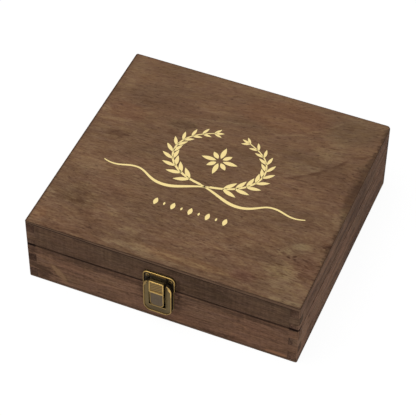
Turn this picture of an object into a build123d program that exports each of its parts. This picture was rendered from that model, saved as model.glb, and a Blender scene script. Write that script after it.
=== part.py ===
from build123d import *
import os
from math import sqrt

# Keepsake box: a finger-jointed wooden box glued up closed and sawn into base and lid,
# with two surface butt hinges at the back and a press latch at the front.
# Millimetres. +Z is up, the latch faces -Y, and the origin is the middle of the underside.

# ---- wooden case ----
BOX_WIDTH = 250.0
BOX_DEPTH = 232.0
BOX_HEIGHT = 70.0
BASE_HEIGHT = 42.0  # underside to the sawn rim of the base
SEAM_GAP = 0.3  # between the closed lid and the base
BOARD = 8.5  # thickness of the four sides
PANEL = 3.0  # thickness of the top and bottom panels
FINGERS = 7  # fingers and sockets up each corner, panel to panel
CORNER_ROUND = 1.8  # three of the upright corners
SANDED_CORNER_ROUND = 4.0  # the back right-hand one, sanded rounder than the rest
EDGE_ROUND = 0.8  # outer edges of the panels
SEAM_EASE = 0.6  # bevel along both outer edges of the saw cut
GLUE_GAP = 0.04  # glue line

# ---- fits ----
RUNNING_FIT = 0.05  # radial, a pin in a turning knuckle or lug
SCREW_FIT = 0.04  # radial, a screw in its hole
SHEET_FIT = 0.05  # between metal pieces that lie on each other

# ---- small screws ----
SCREW_HEAD_RADIUS = 1.75
SCREW_SHANK_RADIUS = 0.85
SCREW_LENGTH = 6.0  # in the wood
SCREW_DOME = 0.3  # head above the sheet
SCREW_SLOT = 0.4

# ---- butt hinges ----
HINGE_INSET = 50.0  # side of the box to the middle of a hinge
HINGE_LENGTH = 25.0
LEAF_REACH = 11.0  # pin to the free edge of a leaf
LEAF_SHEET = 1.0
LEAF_CORNER = 1.5
KNUCKLE_RADIUS = 1.9
KNUCKLE_SHARE = 3  # knuckles on a hinge, the middle one on the lid's leaf
KNUCKLE_CLEAR = 0.3  # along the pin, between knuckles, and from knuckle to wood
HINGE_PIN_RADIUS = 0.95
PIN_CAP = 0.6
HINGE_SCREW_SPACING = 15.0
HINGE_SCREW_DROP = 6.6  # pin to the screws

# ---- latch: heights are from the seam, "proud" is from the wood outwards ----
PLATE_WIDTH = 29.2
PLATE_FOOT = 0.65
PLATE_TOP = 16.35
PLATE_SHEET = 1.2
PLATE_CORNER = 4.2
RIM_WIDTH = 1.1
RIM_RISE = 0.9
LID_SCREW_SPACING = 21.0
LID_SCREW_HEIGHT = 11.2

KEEPER_WIDTH = 14.2
KEEPER_FOOT = 2.5
KEEPER_PROUD = 3.8
KEEPER_BAR = 2.6  # metal below the window
KEEPER_BEVEL = 0.6

SHIELD_WIDTH = 25.8
SHIELD_TOP = 9.0
SHIELD_FOOT = 28.5  # below the seam
SHIELD_CORNER = 4.2
SHOULDER_WIDTH = 2.5
SHOULDER_DROP = 5.0
SHIELD_PROUD = 5.0
SHIELD_SHEET = 0.8
SHIELD_WALL = 0.9
SHIELD_BEAD = 0.5
SLOT_FOOT = 20.2  # below the seam
ARM_CLEAR = 0.5  # arms over the lid plate's rim

BASE_PLATE_SHEET = 1.0
BASE_PLATE_LIP = 0.4  # shows outside the shield
BASE_SCREW_SPACING = 19.2
BASE_SCREW_DROP = 22.2
EAR_SHEET = 0.9
EAR_HALF = 1.9
EAR_GAP = 0.1  # ears under the shield's sheet

LEVER_WIDTH = 13.5
LEVER_CLEAR = 0.65  # lever to the edges of the slot
LEVER_TOP = 12.15
LEVER_RIDGE = 1.45  # below the seam
LEVER_FOOT = 19.05  # below the seam
LEVER_PROUD = 7.6
HEAD_CLEAR = 1.2  # keeper to the back of the lever
HEAD_BEVEL = 0.6
HEAD_FRAME = 1.3
HEAD_RECESS = 0.4
PAD_INSET = 0.6
PAD_STEP = 1.0
PAD_SLOPE = 0.4
PAD_CORNER = 2.2
PIVOT_DROP = 8.15
PIVOT_PROUD = 2.9
LEVER_PIN_RADIUS = 0.7
LUG_RADIUS = 1.55
LUG_SHEET = 1.3
LUG_CLEAR = 0.35  # lugs to the ears
TOOTH_WIDTH = 7.0
TOOTH_HEIGHT = 1.8
TOOTH_BITE = 1.4  # behind the keeper's front
WINDOW_CLEAR = 0.8

SPRING_WIDTH = 5.0
SPRING_SHEET = 0.4
SPRING_FOOT = 4.5  # length lying on the base plate
SPRING_START = 25.8  # below the seam
SPRING_TIP = 13.6  # below the seam

# ---- worked out ----
half_width = BOX_WIDTH / 2
half_depth = BOX_DEPTH / 2
lid_foot = BASE_HEIGHT + SEAM_GAP
seam = BASE_HEIGHT + SEAM_GAP / 2
rail_top = BOX_HEIGHT - PANEL
finger = (rail_top - PANEL) / FINGERS

FRONT = Plane(origin=(0, -half_depth, 0), x_dir=(1, 0, 0), z_dir=(0, -1, 0))
BACK = Plane(origin=(0, half_depth, 0), x_dir=(-1, 0, 0), z_dir=(0, 1, 0))
SIDE = Plane(origin=(0, -half_depth, 0), x_dir=(0, -1, 0), z_dir=(-1, 0, 0))


def block(low, high):
    """Box between two corners."""
    size = [b - a for a, b in zip(low, high)]
    middle = [(a + b) / 2 for a, b in zip(low, high)]
    return Pos(*middle) * Box(*size)


def on(plane, x_range, z_range, proud_range):
    """Box standing on one face of the case: across, up and outwards."""
    low, high = zip(x_range, z_range, proud_range)
    return plane * block(low, high)


def sheet(plane, outline, proud_low, proud_high):
    """Outline drawn on a face of the case, given thickness outwards."""
    return plane * Pos(0, 0, proud_low) * extrude(outline, proud_high - proud_low)


def both_sides(offset):
    return (-offset, offset)


def save(name, shape):
    export_step(shape, f"parts/{name}.step")


# ---- case ----
def rounded_case():
    """The whole closed box as one solid block."""
    case = block((-half_width, -half_depth, 0), (half_width, half_depth, BOX_HEIGHT))
    sanded_corner = (half_width, half_depth, BOX_HEIGHT / 2)
    uprights = case.edges().filter_by(Axis.Z).sort_by_distance(sanded_corner)
    case = fillet(uprights[1:], CORNER_ROUND)
    sanded = case.edges().filter_by(Axis.Z).sort_by_distance(sanded_corner)[0]
    case = fillet(sanded, SANDED_CORNER_ROUND)
    rims = case.edges().group_by(Axis.Z)
    return fillet(rims[0] + rims[-1], EDGE_ROUND)


def sawn(case, low, high, cut_on_top):
    """The part of the case between two heights, its outer edge eased along the saw cut."""
    reach = BOX_WIDTH + BOX_DEPTH
    half = case & block((-reach, -reach, low), (reach, reach, high))
    levels = half.edges().group_by(Axis.Z)
    return chamfer(levels[-1 if cut_on_top else 0], SEAM_EASE)


def board(half, front_or_back, sign, low, high):
    """One side of the case, its sockets cut where the neighbours' fingers come through."""
    along = half_width if front_or_back else half_depth
    across = half_depth if front_or_back else half_width
    turn = (lambda a, b: (a, b)) if front_or_back else (lambda a, b: (b, a))
    inner, outer = sorted((sign * (across - BOARD), sign * across))
    piece = half & block((*turn(-along, inner), low), (*turn(along, outer), high))
    first = 0 if front_or_back else 1
    for step in range(first, FINGERS, 2):
        socket_low = PANEL + step * finger - GLUE_GAP / 2
        socket_high = socket_low + finger + GLUE_GAP
        for end in (-1, 1):
            near, far = sorted((end * (along - BOARD - GLUE_GAP), end * (along + BOARD)))
            piece -= block((*turn(near, inner), socket_low), (*turn(far, outer), socket_high))
    return piece


def case_boards(half, low, high):
    return {
        "front": board(half, True, -1, low, high),
        "back": board(half, True, 1, low, high),
        "left": board(half, False, -1, low, high),
        "right": board(half, False, 1, low, high),
    }


# ---- screws ----
def screw(plane, x, z, proud):
    """Countersunk wood screw whose head fills a sheet that ends at `proud`."""
    cone = SCREW_HEAD_RADIUS - SCREW_SHANK_RADIUS
    head = Pos(0, 0, -cone / 2) * Cone(SCREW_SHANK_RADIUS, SCREW_HEAD_RADIUS, cone)
    dome_radius = (SCREW_HEAD_RADIUS**2 + SCREW_DOME**2) / (2 * SCREW_DOME)
    dome = Pos(0, 0, SCREW_DOME - dome_radius) * Sphere(dome_radius)
    dome &= Pos(0, 0, SCREW_DOME / 2) * Cylinder(SCREW_HEAD_RADIUS, SCREW_DOME)
    length = SCREW_LENGTH + proud
    tip = SCREW_SHANK_RADIUS
    shank = Pos(0, 0, -(length - tip) / 2) * Cylinder(SCREW_SHANK_RADIUS, length - tip)
    point = Pos(0, 0, -length + tip / 2) * Cone(SCREW_SHANK_RADIUS / 4, SCREW_SHANK_RADIUS, tip)
    arm = (SCREW_HEAD_RADIUS * 1.3, SCREW_SLOT, 2 * SCREW_DOME)
    cross = Pos(0, 0, SCREW_DOME) * (Box(*arm) + Rot(0, 0, 90) * Box(*arm))
    return plane * Pos(x, z, proud) * (head + dome + shank + point - cross)


def screw_hole(plane, x, z, proud):
    """Countersunk hole through the sheet, and the hole in the wood behind it."""
    radius = SCREW_SHANK_RADIUS + SCREW_FIT
    mouth = SCREW_HEAD_RADIUS + SCREW_FIT
    cone = SCREW_HEAD_RADIUS - SCREW_SHANK_RADIUS
    depth = SCREW_LENGTH + proud + 2 * SCREW_FIT
    hole = Pos(0, 0, -depth / 2) * Cylinder(radius, depth)
    sink = Pos(0, 0, -cone / 2) * Cone(radius, mouth, cone)
    lead = Pos(0, 0, SCREW_DOME) * Cylinder(mouth, 2 * SCREW_DOME)
    return plane * Pos(x, z, proud) * (hole + sink + lead)


# ---- hinges ----
axis_proud = KNUCKLE_RADIUS + KNUCKLE_CLEAR
knuckle_pitch = HINGE_LENGTH / KNUCKLE_SHARE


def knuckle_span(index):
    low = -HINGE_LENGTH / 2 + index * knuckle_pitch
    return low + KNUCKLE_CLEAR / 2, low + knuckle_pitch - KNUCKLE_CLEAR / 2


def along_pin(x, radius, low, high):
    """Round bar along the hinge pin between two places across the back."""
    bar = Cylinder(radius, high - low)
    return BACK * Pos(x + (low + high) / 2, seam, axis_proud) * Rot(0, 90, 0) * bar


def hinge_leaf(x, up):
    """Leaf lying on the back: up is 1 for the lid's leaf and -1 for the base's."""
    reach = HINGE_LENGTH / 2
    lift = sqrt(KNUCKLE_RADIUS**2 - (axis_proud - LEAF_SHEET) ** 2) / 2
    clear = KNUCKLE_RADIUS + KNUCKLE_CLEAR
    edges = sorted((seam + up * lift, seam + up * LEAF_REACH))
    leaf = on(BACK, (x - reach, x + reach), edges, (0, LEAF_SHEET))
    corners = leaf.edges().filter_by(Axis.Y).group_by(Axis.Z)[-1 if up > 0 else 0]
    leaf = fillet(corners, LEAF_CORNER)
    for index in range(KNUCKLE_SHARE):
        low, high = knuckle_span(index)
        if (index % 2 == 1) == (up > 0):
            leaf += along_pin(x, KNUCKLE_RADIUS, low, high)
        else:
            notch = sorted((seam, seam + up * clear))
            span = (x + low - KNUCKLE_CLEAR, x + high + KNUCKLE_CLEAR)
            leaf -= on(BACK, span, notch, (-LEAF_SHEET, 2 * LEAF_SHEET))
    leaf -= along_pin(x, HINGE_PIN_RADIUS + RUNNING_FIT, -reach, reach)
    for offset in both_sides(HINGE_SCREW_SPACING / 2):
        leaf -= screw_hole(BACK, x + offset, seam + up * HINGE_SCREW_DROP, LEAF_SHEET)
    return leaf


def hinge_pin(x):
    reach = HINGE_LENGTH / 2
    pin = along_pin(x, HINGE_PIN_RADIUS, -reach, reach)
    cap_radius = (HINGE_PIN_RADIUS + KNUCKLE_RADIUS) / 2
    for low, high in ((-reach - PIN_CAP, -reach), (reach, reach + PIN_CAP)):
        cap = along_pin(x, cap_radius, low, high)
        pin += cap
    return pin


def hinge_screws(shape, up):
    """Screws (shape is screw) or holes (shape is screw_hole) of both hinges' leaves."""
    places = [
        (side + offset, seam + up * HINGE_SCREW_DROP)
        for side in both_sides(half_width - HINGE_INSET)
        for offset in both_sides(HINGE_SCREW_SPACING / 2)
    ]
    return [shape(BACK, x, z, LEAF_SHEET) for x, z in places]


# ---- latch ----
slot_half = LEVER_WIDTH / 2 + LEVER_CLEAR
lever_back = KEEPER_PROUD + HEAD_CLEAR
tooth_foot = seam + KEEPER_FOOT + KEEPER_BAR + WINDOW_CLEAR
pivot_height = seam - PIVOT_DROP
ear_near = LEVER_WIDTH / 2 + LUG_CLEAR
ear_far = ear_near + EAR_SHEET


def latch_lid_plate():
    """Plate on the lid with a raised rim and the keeper, which has a window for the tooth."""
    low, high = seam + PLATE_FOOT, seam + PLATE_TOP
    outline = Pos(0, (low + high) / 2) * Rectangle(PLATE_WIDTH, high - low)
    outline = fillet(outline.vertices().group_by(Axis.Y)[-1], PLATE_CORNER)
    plate = sheet(FRONT, outline, 0, PLATE_SHEET + RIM_RISE)
    tray_top = high - RIM_WIDTH
    tray_width = PLATE_WIDTH - 2 * RIM_WIDTH
    tray = Pos(0, (low + tray_top) / 2 - RIM_WIDTH / 2)
    tray *= Rectangle(tray_width, tray_top - low + RIM_WIDTH)
    tray = fillet(tray.vertices().group_by(Axis.Y)[-1], PLATE_CORNER - RIM_WIDTH)
    plate -= sheet(FRONT, tray, PLATE_SHEET, PLATE_SHEET + 2 * RIM_RISE)

    half = KEEPER_WIDTH / 2
    keeper = on(FRONT, (-half, half), (seam + KEEPER_FOOT, tray_top), (0, KEEPER_PROUD))
    keeper = chamfer(keeper.faces().sort_by(Axis.Y)[0].edges(), KEEPER_BEVEL)
    plate += keeper
    window = TOOTH_WIDTH / 2 + WINDOW_CLEAR
    window_top = tooth_foot + TOOTH_HEIGHT + WINDOW_CLEAR
    window_span = (tooth_foot - WINDOW_CLEAR, window_top)
    plate -= on(FRONT, (-window, window), window_span, (PLATE_SHEET, 2 * KEEPER_PROUD))
    for x in both_sides(LID_SCREW_SPACING / 2):
        plate -= screw_hole(FRONT, x, seam + LID_SCREW_HEIGHT, PLATE_SHEET)
    return plate


def shield_outline(grow=0.0):
    """Shield seen from the front: bevelled foot, sloping shoulders."""
    half = SHIELD_WIDTH / 2
    low, high = seam - SHIELD_FOOT, seam + SHIELD_TOP
    right = [
        (half - SHIELD_CORNER, low),
        (half, low + SHIELD_CORNER),
        (half, high - SHOULDER_DROP),
        (half - SHOULDER_WIDTH, high),
    ]
    left = [(-x, z) for x, z in reversed(right)]
    outline = make_face(Polyline(*right, *left, close=True))
    outline = fillet(outline.vertices(), SHOULDER_WIDTH / 2)
    return offset(outline, grow) if grow else outline


def latch_slot(grow=0.0):
    """Space in the shield for the lever, open at the top."""
    top = seam + SHIELD_TOP + SHIELD_WALL
    foot = seam - SLOT_FOOT
    half = slot_half + grow
    return Pos(0, (foot - grow + top) / 2) * Rectangle(2 * half, top - foot + grow)


def latch_shield():
    """Hollow U-shaped shield with a bead round its edge; its arms reach over the lid plate."""
    back = BASE_PLATE_SHEET + SHEET_FIT
    front = SHIELD_PROUD
    shield = sheet(FRONT, shield_outline(), back, front + SHIELD_BEAD)
    shield -= sheet(FRONT, shield_outline(-SHIELD_WALL), back, front - SHIELD_SHEET)
    band = shield_outline(-SHIELD_WALL) - latch_slot(SHIELD_WALL)
    shield -= sheet(FRONT, band, front, front + 2 * SHIELD_BEAD)
    shield -= sheet(FRONT, latch_slot(), back, front + 2 * SHIELD_BEAD)
    arm_back = PLATE_SHEET + RIM_RISE + ARM_CLEAR
    above = (BASE_HEIGHT - ARM_CLEAR, seam + 2 * SHIELD_TOP)
    shield -= on(FRONT, both_sides(SHIELD_WIDTH), above, (0, arm_back))
    return shield


def latch_base_plate():
    """Plate on the base, behind the shield, with two ears for the lever's pin."""
    low, high = seam - SHIELD_FOOT - BASE_PLATE_LIP, seam - PLATE_FOOT
    outline = shield_outline(BASE_PLATE_LIP)
    reach = SHIELD_WIDTH
    outline &= Pos(0, (low + high) / 2) * Rectangle(reach + SHIELD_WIDTH, high - low)
    plate = sheet(FRONT, outline, 0, BASE_PLATE_SHEET)
    ear_top = SHIELD_PROUD - SHIELD_SHEET - EAR_GAP
    ear_span = (pivot_height - EAR_HALF, pivot_height + EAR_HALF)
    for span in ((-ear_far, -ear_near), (ear_near, ear_far)):
        plate += on(FRONT, span, ear_span, (0, ear_top))
    plate -= pin_bar(LEVER_PIN_RADIUS + RUNNING_FIT, ear_far + EAR_SHEET)
    for x in both_sides(BASE_SCREW_SPACING / 2):
        plate -= screw_hole(FRONT, x, seam - BASE_SCREW_DROP, BASE_PLATE_SHEET)
    return plate


def pin_bar(radius, half_length):
    """Round bar on the lever's pivot."""
    bar = Cylinder(radius, 2 * half_length)
    return FRONT * Pos(0, pivot_height, PIVOT_PROUD) * Rot(0, 90, 0) * bar


def lever_side(points, half):
    """Side view of the lever (proud, height), given its width across the box."""
    face = make_face(Polyline(*points, close=True))
    return SIDE * Pos(0, 0, -half) * extrude(face, 2 * half)


def latch_lever():
    """Press lever: framed head over the keeper, pad below, lugs for the pin and a tooth."""
    half = LEVER_WIDTH / 2
    top, ridge, foot = seam + LEVER_TOP, seam - LEVER_RIDGE, seam - LEVER_FOOT
    pad_proud = LEVER_PROUD - PAD_STEP
    head = lever_side(
        [
            (lever_back, ridge - PAD_STEP),
            (pad_proud, ridge - PAD_STEP),
            (LEVER_PROUD, ridge),
            (LEVER_PROUD, top - HEAD_BEVEL),
            (LEVER_PROUD - HEAD_BEVEL, top),
            (lever_back, top),
        ],
        half,
    )
    frame_half = half - HEAD_FRAME
    frame_span = (ridge + HEAD_FRAME, top - HEAD_BEVEL - HEAD_FRAME)
    head -= on(FRONT, (-frame_half, frame_half), frame_span, (LEVER_PROUD - HEAD_RECESS, 2 * LEVER_PROUD))
    pad = lever_side(
        [
            (lever_back, foot),
            (pad_proud - PAD_SLOPE, foot),
            (pad_proud, ridge - PAD_STEP / 2),
            (lever_back, ridge - PAD_STEP / 2),
        ],
        half - PAD_INSET,
    )
    pad = fillet(pad.edges().filter_by(Axis.Y).group_by(Axis.Z)[0], PAD_CORNER)
    lever = head + pad
    lug_span = (pivot_height - LUG_RADIUS, pivot_height + LUG_RADIUS)
    bar = pin_bar(LUG_RADIUS, half)
    bar += on(FRONT, (-half, half), lug_span, (PIVOT_PROUD, lever_back + PAD_SLOPE))
    inner = half - LUG_SHEET
    bar -= on(FRONT, (-inner, inner), (foot, top), (0, lever_back))
    lever += bar
    lever -= pin_bar(LEVER_PIN_RADIUS + RUNNING_FIT, LEVER_WIDTH)
    tooth_half = TOOTH_WIDTH / 2
    tooth_span = (tooth_foot, tooth_foot + TOOTH_HEIGHT)
    tooth_reach = (KEEPER_PROUD - TOOTH_BITE, lever_back + HEAD_RECESS)
    return lever + on(FRONT, (-tooth_half, tooth_half), tooth_span, tooth_reach)


def latch_spring():
    """Leaf spring: its foot lies on the base plate and its tip bears on the pad's back."""
    low = BASE_PLATE_SHEET + SHEET_FIT
    high = lever_back - SHEET_FIT
    start, tip = seam - SPRING_START, seam - SPRING_TIP
    knee = start + SPRING_FOOT
    line = [(low, start), (low, knee), (high - SPRING_SHEET, tip)]
    back = [(low + SPRING_SHEET, start), (low + SPRING_SHEET, knee - SPRING_SHEET), (high, tip)]
    return lever_side(line + back[::-1], SPRING_WIDTH / 2)


# ---- build ----
os.makedirs("parts", exist_ok=True)

case = rounded_case()
base_half = sawn(case, 0, BASE_HEIGHT, cut_on_top=True)
lid_half = sawn(case, lid_foot, BOX_HEIGHT, cut_on_top=False)
reach = BOX_WIDTH + BOX_DEPTH
save("base_panel", base_half & block((-reach, -reach, 0), (reach, reach, PANEL)))
save("lid_panel", lid_half & block((-reach, -reach, rail_top), (reach, reach, BOX_HEIGHT)))

base_boards = case_boards(base_half, PANEL + GLUE_GAP, BASE_HEIGHT)
lid_rails = case_boards(lid_half, lid_foot, rail_top - GLUE_GAP)
for hole in hinge_screws(screw_hole, -1):
    base_boards["back"] -= hole
for hole in hinge_screws(screw_hole, 1):
    lid_rails["back"] -= hole
for x in both_sides(BASE_SCREW_SPACING / 2):
    base_boards["front"] -= screw_hole(FRONT, x, seam - BASE_SCREW_DROP, BASE_PLATE_SHEET)
for x in both_sides(LID_SCREW_SPACING / 2):
    lid_rails["front"] -= screw_hole(FRONT, x, seam + LID_SCREW_HEIGHT, PLATE_SHEET)
for side, piece in base_boards.items():
    save(f"base_{side}_board", piece)
for side, piece in lid_rails.items():
    save(f"lid_{side}_rail", piece)

for side, x in (("left", half_width - HINGE_INSET), ("right", HINGE_INSET - half_width)):
    save(f"hinge_{side}_base_leaf", hinge_leaf(x, -1))
    save(f"hinge_{side}_lid_leaf", hinge_leaf(x, 1))
    save(f"hinge_{side}_pin", hinge_pin(x))
save("hinge_base_screws", Compound(hinge_screws(screw, -1)))
save("hinge_lid_screws", Compound(hinge_screws(screw, 1)))

save("latch_lid_plate", latch_lid_plate())
save("latch_base_plate", latch_base_plate())
save("latch_shield", latch_shield())
save("latch_lever", latch_lever())
save("latch_pin", pin_bar(LEVER_PIN_RADIUS, ear_far + SHEET_FIT))
save("latch_spring", latch_spring())
lid_screws = [
    screw(FRONT, x, seam + LID_SCREW_HEIGHT, PLATE_SHEET)
    for x in both_sides(LID_SCREW_SPACING / 2)
]
base_screws = [
    screw(FRONT, x, seam - BASE_SCREW_DROP, BASE_PLATE_SHEET)
    for x in both_sides(BASE_SCREW_SPACING / 2)
]
save("latch_lid_screws", Compound(lid_screws))
save("latch_base_screws", Compound(base_screws))
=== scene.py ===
"""Keepsake box: stained wood, pressed brass latch, butt hinges and gold print around the packed frame.

Laid out as an add-on and run as a script. Metres, Z up, the latch faces -Y.
"""

import math

import bmesh
import bpy
from mathutils import Matrix, Vector


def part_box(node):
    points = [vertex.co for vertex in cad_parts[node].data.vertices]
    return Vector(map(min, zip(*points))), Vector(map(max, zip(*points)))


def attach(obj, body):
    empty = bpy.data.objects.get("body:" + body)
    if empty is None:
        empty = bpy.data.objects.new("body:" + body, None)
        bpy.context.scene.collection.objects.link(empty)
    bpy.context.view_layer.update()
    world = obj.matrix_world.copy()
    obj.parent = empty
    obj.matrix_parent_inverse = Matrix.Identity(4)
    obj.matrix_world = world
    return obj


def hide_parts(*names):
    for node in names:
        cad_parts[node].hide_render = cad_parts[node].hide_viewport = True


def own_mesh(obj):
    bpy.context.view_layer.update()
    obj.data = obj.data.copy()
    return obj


bl_info = {
    "name": "Keepsake Box",
    "version": (1, 0, 0),
    "blender": (4, 5, 0),
    "location": "3D View > Sidebar > Keepsake Box",
    "description": "Finishes a finger-jointed wooden box with a press latch and a gold print",
    "category": "Object",
}

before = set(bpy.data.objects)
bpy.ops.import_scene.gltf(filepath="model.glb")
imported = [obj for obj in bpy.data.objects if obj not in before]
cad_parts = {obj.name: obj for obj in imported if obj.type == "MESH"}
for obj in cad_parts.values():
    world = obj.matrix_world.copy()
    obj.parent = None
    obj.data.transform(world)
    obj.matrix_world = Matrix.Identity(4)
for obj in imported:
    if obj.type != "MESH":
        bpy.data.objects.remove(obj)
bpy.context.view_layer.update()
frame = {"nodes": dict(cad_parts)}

MM = 0.001
# points this close lie at one level, and points this close to a cut lie on it
LEVEL = 0.01 * MM
ON_CUT = 0.0001 * MM
# edges sharper than this are rounded, or are shaded as edges
CREASE = math.radians(35)
SHARP = math.radians(40)

# ---- places read from the frame ----
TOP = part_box("lid_panel")[1].z
PANEL_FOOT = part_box("lid_panel")[0].z
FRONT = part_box("base_front_board")[0].y
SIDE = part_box("base_right_board")[1].x
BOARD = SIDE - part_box("base_right_board")[0].x
SEAM = (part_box("base_front_board")[1].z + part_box("lid_front_rail")[0].z) / 2
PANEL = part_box("base_panel")[1].z
FINGERS = 7
FINGER = (PANEL_FOOT - PANEL) / FINGERS
PIVOT = (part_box("latch_pin")[0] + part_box("latch_pin")[1]) / 2

# ---- the finishes of the pressed brass, as material slots of each piece ----
FLAT, WORN, RECESS, BEAD, PAD, THUMB = range(6)

# ---- where marks on a face lie across it, by its axis, and how deep they reach, in millimetres ----
FACES = [(SIDE / MM, 9.0), (FRONT / MM, 9.0), (TOP / MM, 2.5)]

# ---- what the grain shows and where: strength, centre, radii, and perhaps a turn and a side ----
# Centres and radii in millimetres are given along the face, or in space for the finger ends.
LID_TOP_MARKS = {
    "figures": [
        # the step that climbs to the back right-hand corner: pale above it, dark below
        (0.14, (71, 33), (19, 10), 0.64),
        (0.14, (89, 56), (17, 10), 0.85),
        (-0.14, (108, 28), (26, 32), 0.6),
        (0.1, (84, 68), (22, 13), 0.8),
        (0.15, (58, 34), (16, 7), 0.6),
        (-0.22, (94, 99), (6, 4)),
        (0.12, (0, 110), (118, 6)),
        # the left half: soft bands
        (0.12, (-114, 85), (10, 36)),
        (-0.12, (-70, 62), (48, 13), 0.05),
        (-0.24, (-47, 44), (16, 7), 0.1),
        (0.3, (-120, 38), (4, 7)),
        (0.22, (-104, 28), (22, 3), 0.15),
        (-0.26, (-97, 12), (13, 6), 0.1),
        (-0.2, (-88, 36), (13, 4), 0.05),
        (-0.35, (-90, -77), (6, 4), -0.3),
        (-0.2, (-94, -70), (12, 15), -0.3),
        (-0.16, (-74, -100), (15, 17), -0.4),
        (0.14, (-62, -78), (12, 8)),
        # pale band just behind the front edge: painted highlight
        (0.3, (-28, -106.5), (36, 4.5), 0.03),
        (0.2, (-118, -103), (6, 7)),
        # the knot near the front right-hand corner, with its flame
        (-0.14, (102, -26), (10, 5), 0.1),
        (0.36, (103, -51), (10, 6), 0.2),
        (0.34, (91, -61), (10, 6), 0.8),
        (-0.26, (114, -69), (13, 11), -0.3),
        (0.2, (103, -77), (14, 10), -0.85, -1),
        (-0.2, (105, -76), (14, 7), -0.85, 1),
        (0.2, (96, -86), (15, 12), -0.2),
        (0.2, (108, -99), (26, 12)),
        (-0.5, (122, -44), (4, 6)),
        (-0.25, (47, -66), (10, 4)),
        (-0.2, (40, -85), (14, 5)),
        (-0.2, (70, -101), (15, 6)),
        # pale band just behind the front edge: painted highlight
        (0.28, (26, -105), (38, 3.4), -0.03),
        # along the edges and between the large figures
        (0.22, (-102, -32), (22, 9)),
        (-0.16, (-72, -56), (20, 11)),
        (-0.18, (-76, -112), (34, 6)),
        # these three: pale bands just behind the front edge, painted highlight
        (0.16, (-6, -111), (36, 5)),
        (0.14, (100, -111), (36, 6)),
        (0.3, (111, -113), (18, 3)),
        (-0.28, (-101, -112), (9, 5)),
        (-0.22, (-83, -87), (11, 5)),
        (0.22, (-39, -91), (11, 5)),
        (-0.2, (-4, -92), (12, 4)),
        (-0.1, (65, -77), (14, 9)),
        (0.2, (107, -88), (9, 5)),
        (0.26, (-121, -78), (5, 10)),
        (-0.2, (117, -81), (12, 6)),
        (0.24, (122, -8), (9, 16)),
        (0.14, (34, 83), (34, 8)),
        (-0.2, (80, 70), (10, 6)),
        (0.14, (108, 112), (32, 8)),
        (-0.2, (-52, 31), (10, 5)),
    ],
    "lines": [
        # the fine line of the step, and the one behind it
        (-0.34, (67, 23.6), (17, 5), 0.52, -1),
        (-0.36, (83, 35.8), (13, 5), 0.7, -1),
        (-0.26, (98, 53), (13, 5), 0.93, -1),
        (-0.2, (112, 68.5), (12, 6), 0.42, -1),
        (0.1, (83, 37.2), (18, 3), 0.7, 1),
        (0.22, (44, 69), (21, 1.8), 0.43),
        (0.2, (64, 82), (12, 1.6), 0.67),
        (0.16, (79, 96), (13, 1.6), 0.88),
        (0.2, (-16, 62), (23, 1.8), 0.25),
        (0.14, (-28, 71), (21, 1.6), 0.3),
        # the knot's specks and dashes
        (-0.9, (95.6, -66.8), (2.4, 1.3), -0.3),
        (-0.9, (100.4, -64.2), (2.8, 1.4), 0.5),
        (-0.7, (101.5, -67.4), (1.8, 1.2)),
        (-0.5, (90, -63.6), (3.6, 0.9), 0.1),
        (-0.5, (84, -70), (4.2, 0.9), 0.05),
        (-0.45, (79, -61), (4.4, 0.9), 0.1),
        (-0.45, (92, -77), (5, 0.9), -0.05),
        (-0.4, (99, -86), (6, 0.9)),
        (-0.4, (110, -89), (5, 0.9), -0.1),
        (-0.35, (60, -70), (5, 1.0)),
        (-0.3, (113, -71), (5, 1.0), -0.5),
        (-0.3, (110, -65), (5, 1.0), -0.4),
    ],
    "tinges": [
        (0.9, 0.2, (34, 90), (54, 24), 0.15),
        (-0.55, 0.1, (96, 92), (28, 22), 0.5),
        (-0.2, 0.1, (86, 66), (24, 16), 0.8),
        (-0.6, 0.0, (-47, 44), (20, 10), 0.1),
        (0.6, 0.0, (-100, 42), (24, 14)),
        (-0.4, 0.2, (-92, -70), (22, 20)),
        (0.8, 0.3, (-118, -103), (8, 10)),
        (0.4, 0.5, (20, -104), (60, 8)),
        (0.1, -0.2, (114, -68), (14, 13)),
        (-0.2, 0.0, (98, -56), (16, 10), 0.5),
        (-0.2, 0.2, (92, -82), (18, 12)),
        (0.5, -0.4, (68, -100), (16, 9)),
    ],
}

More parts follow.
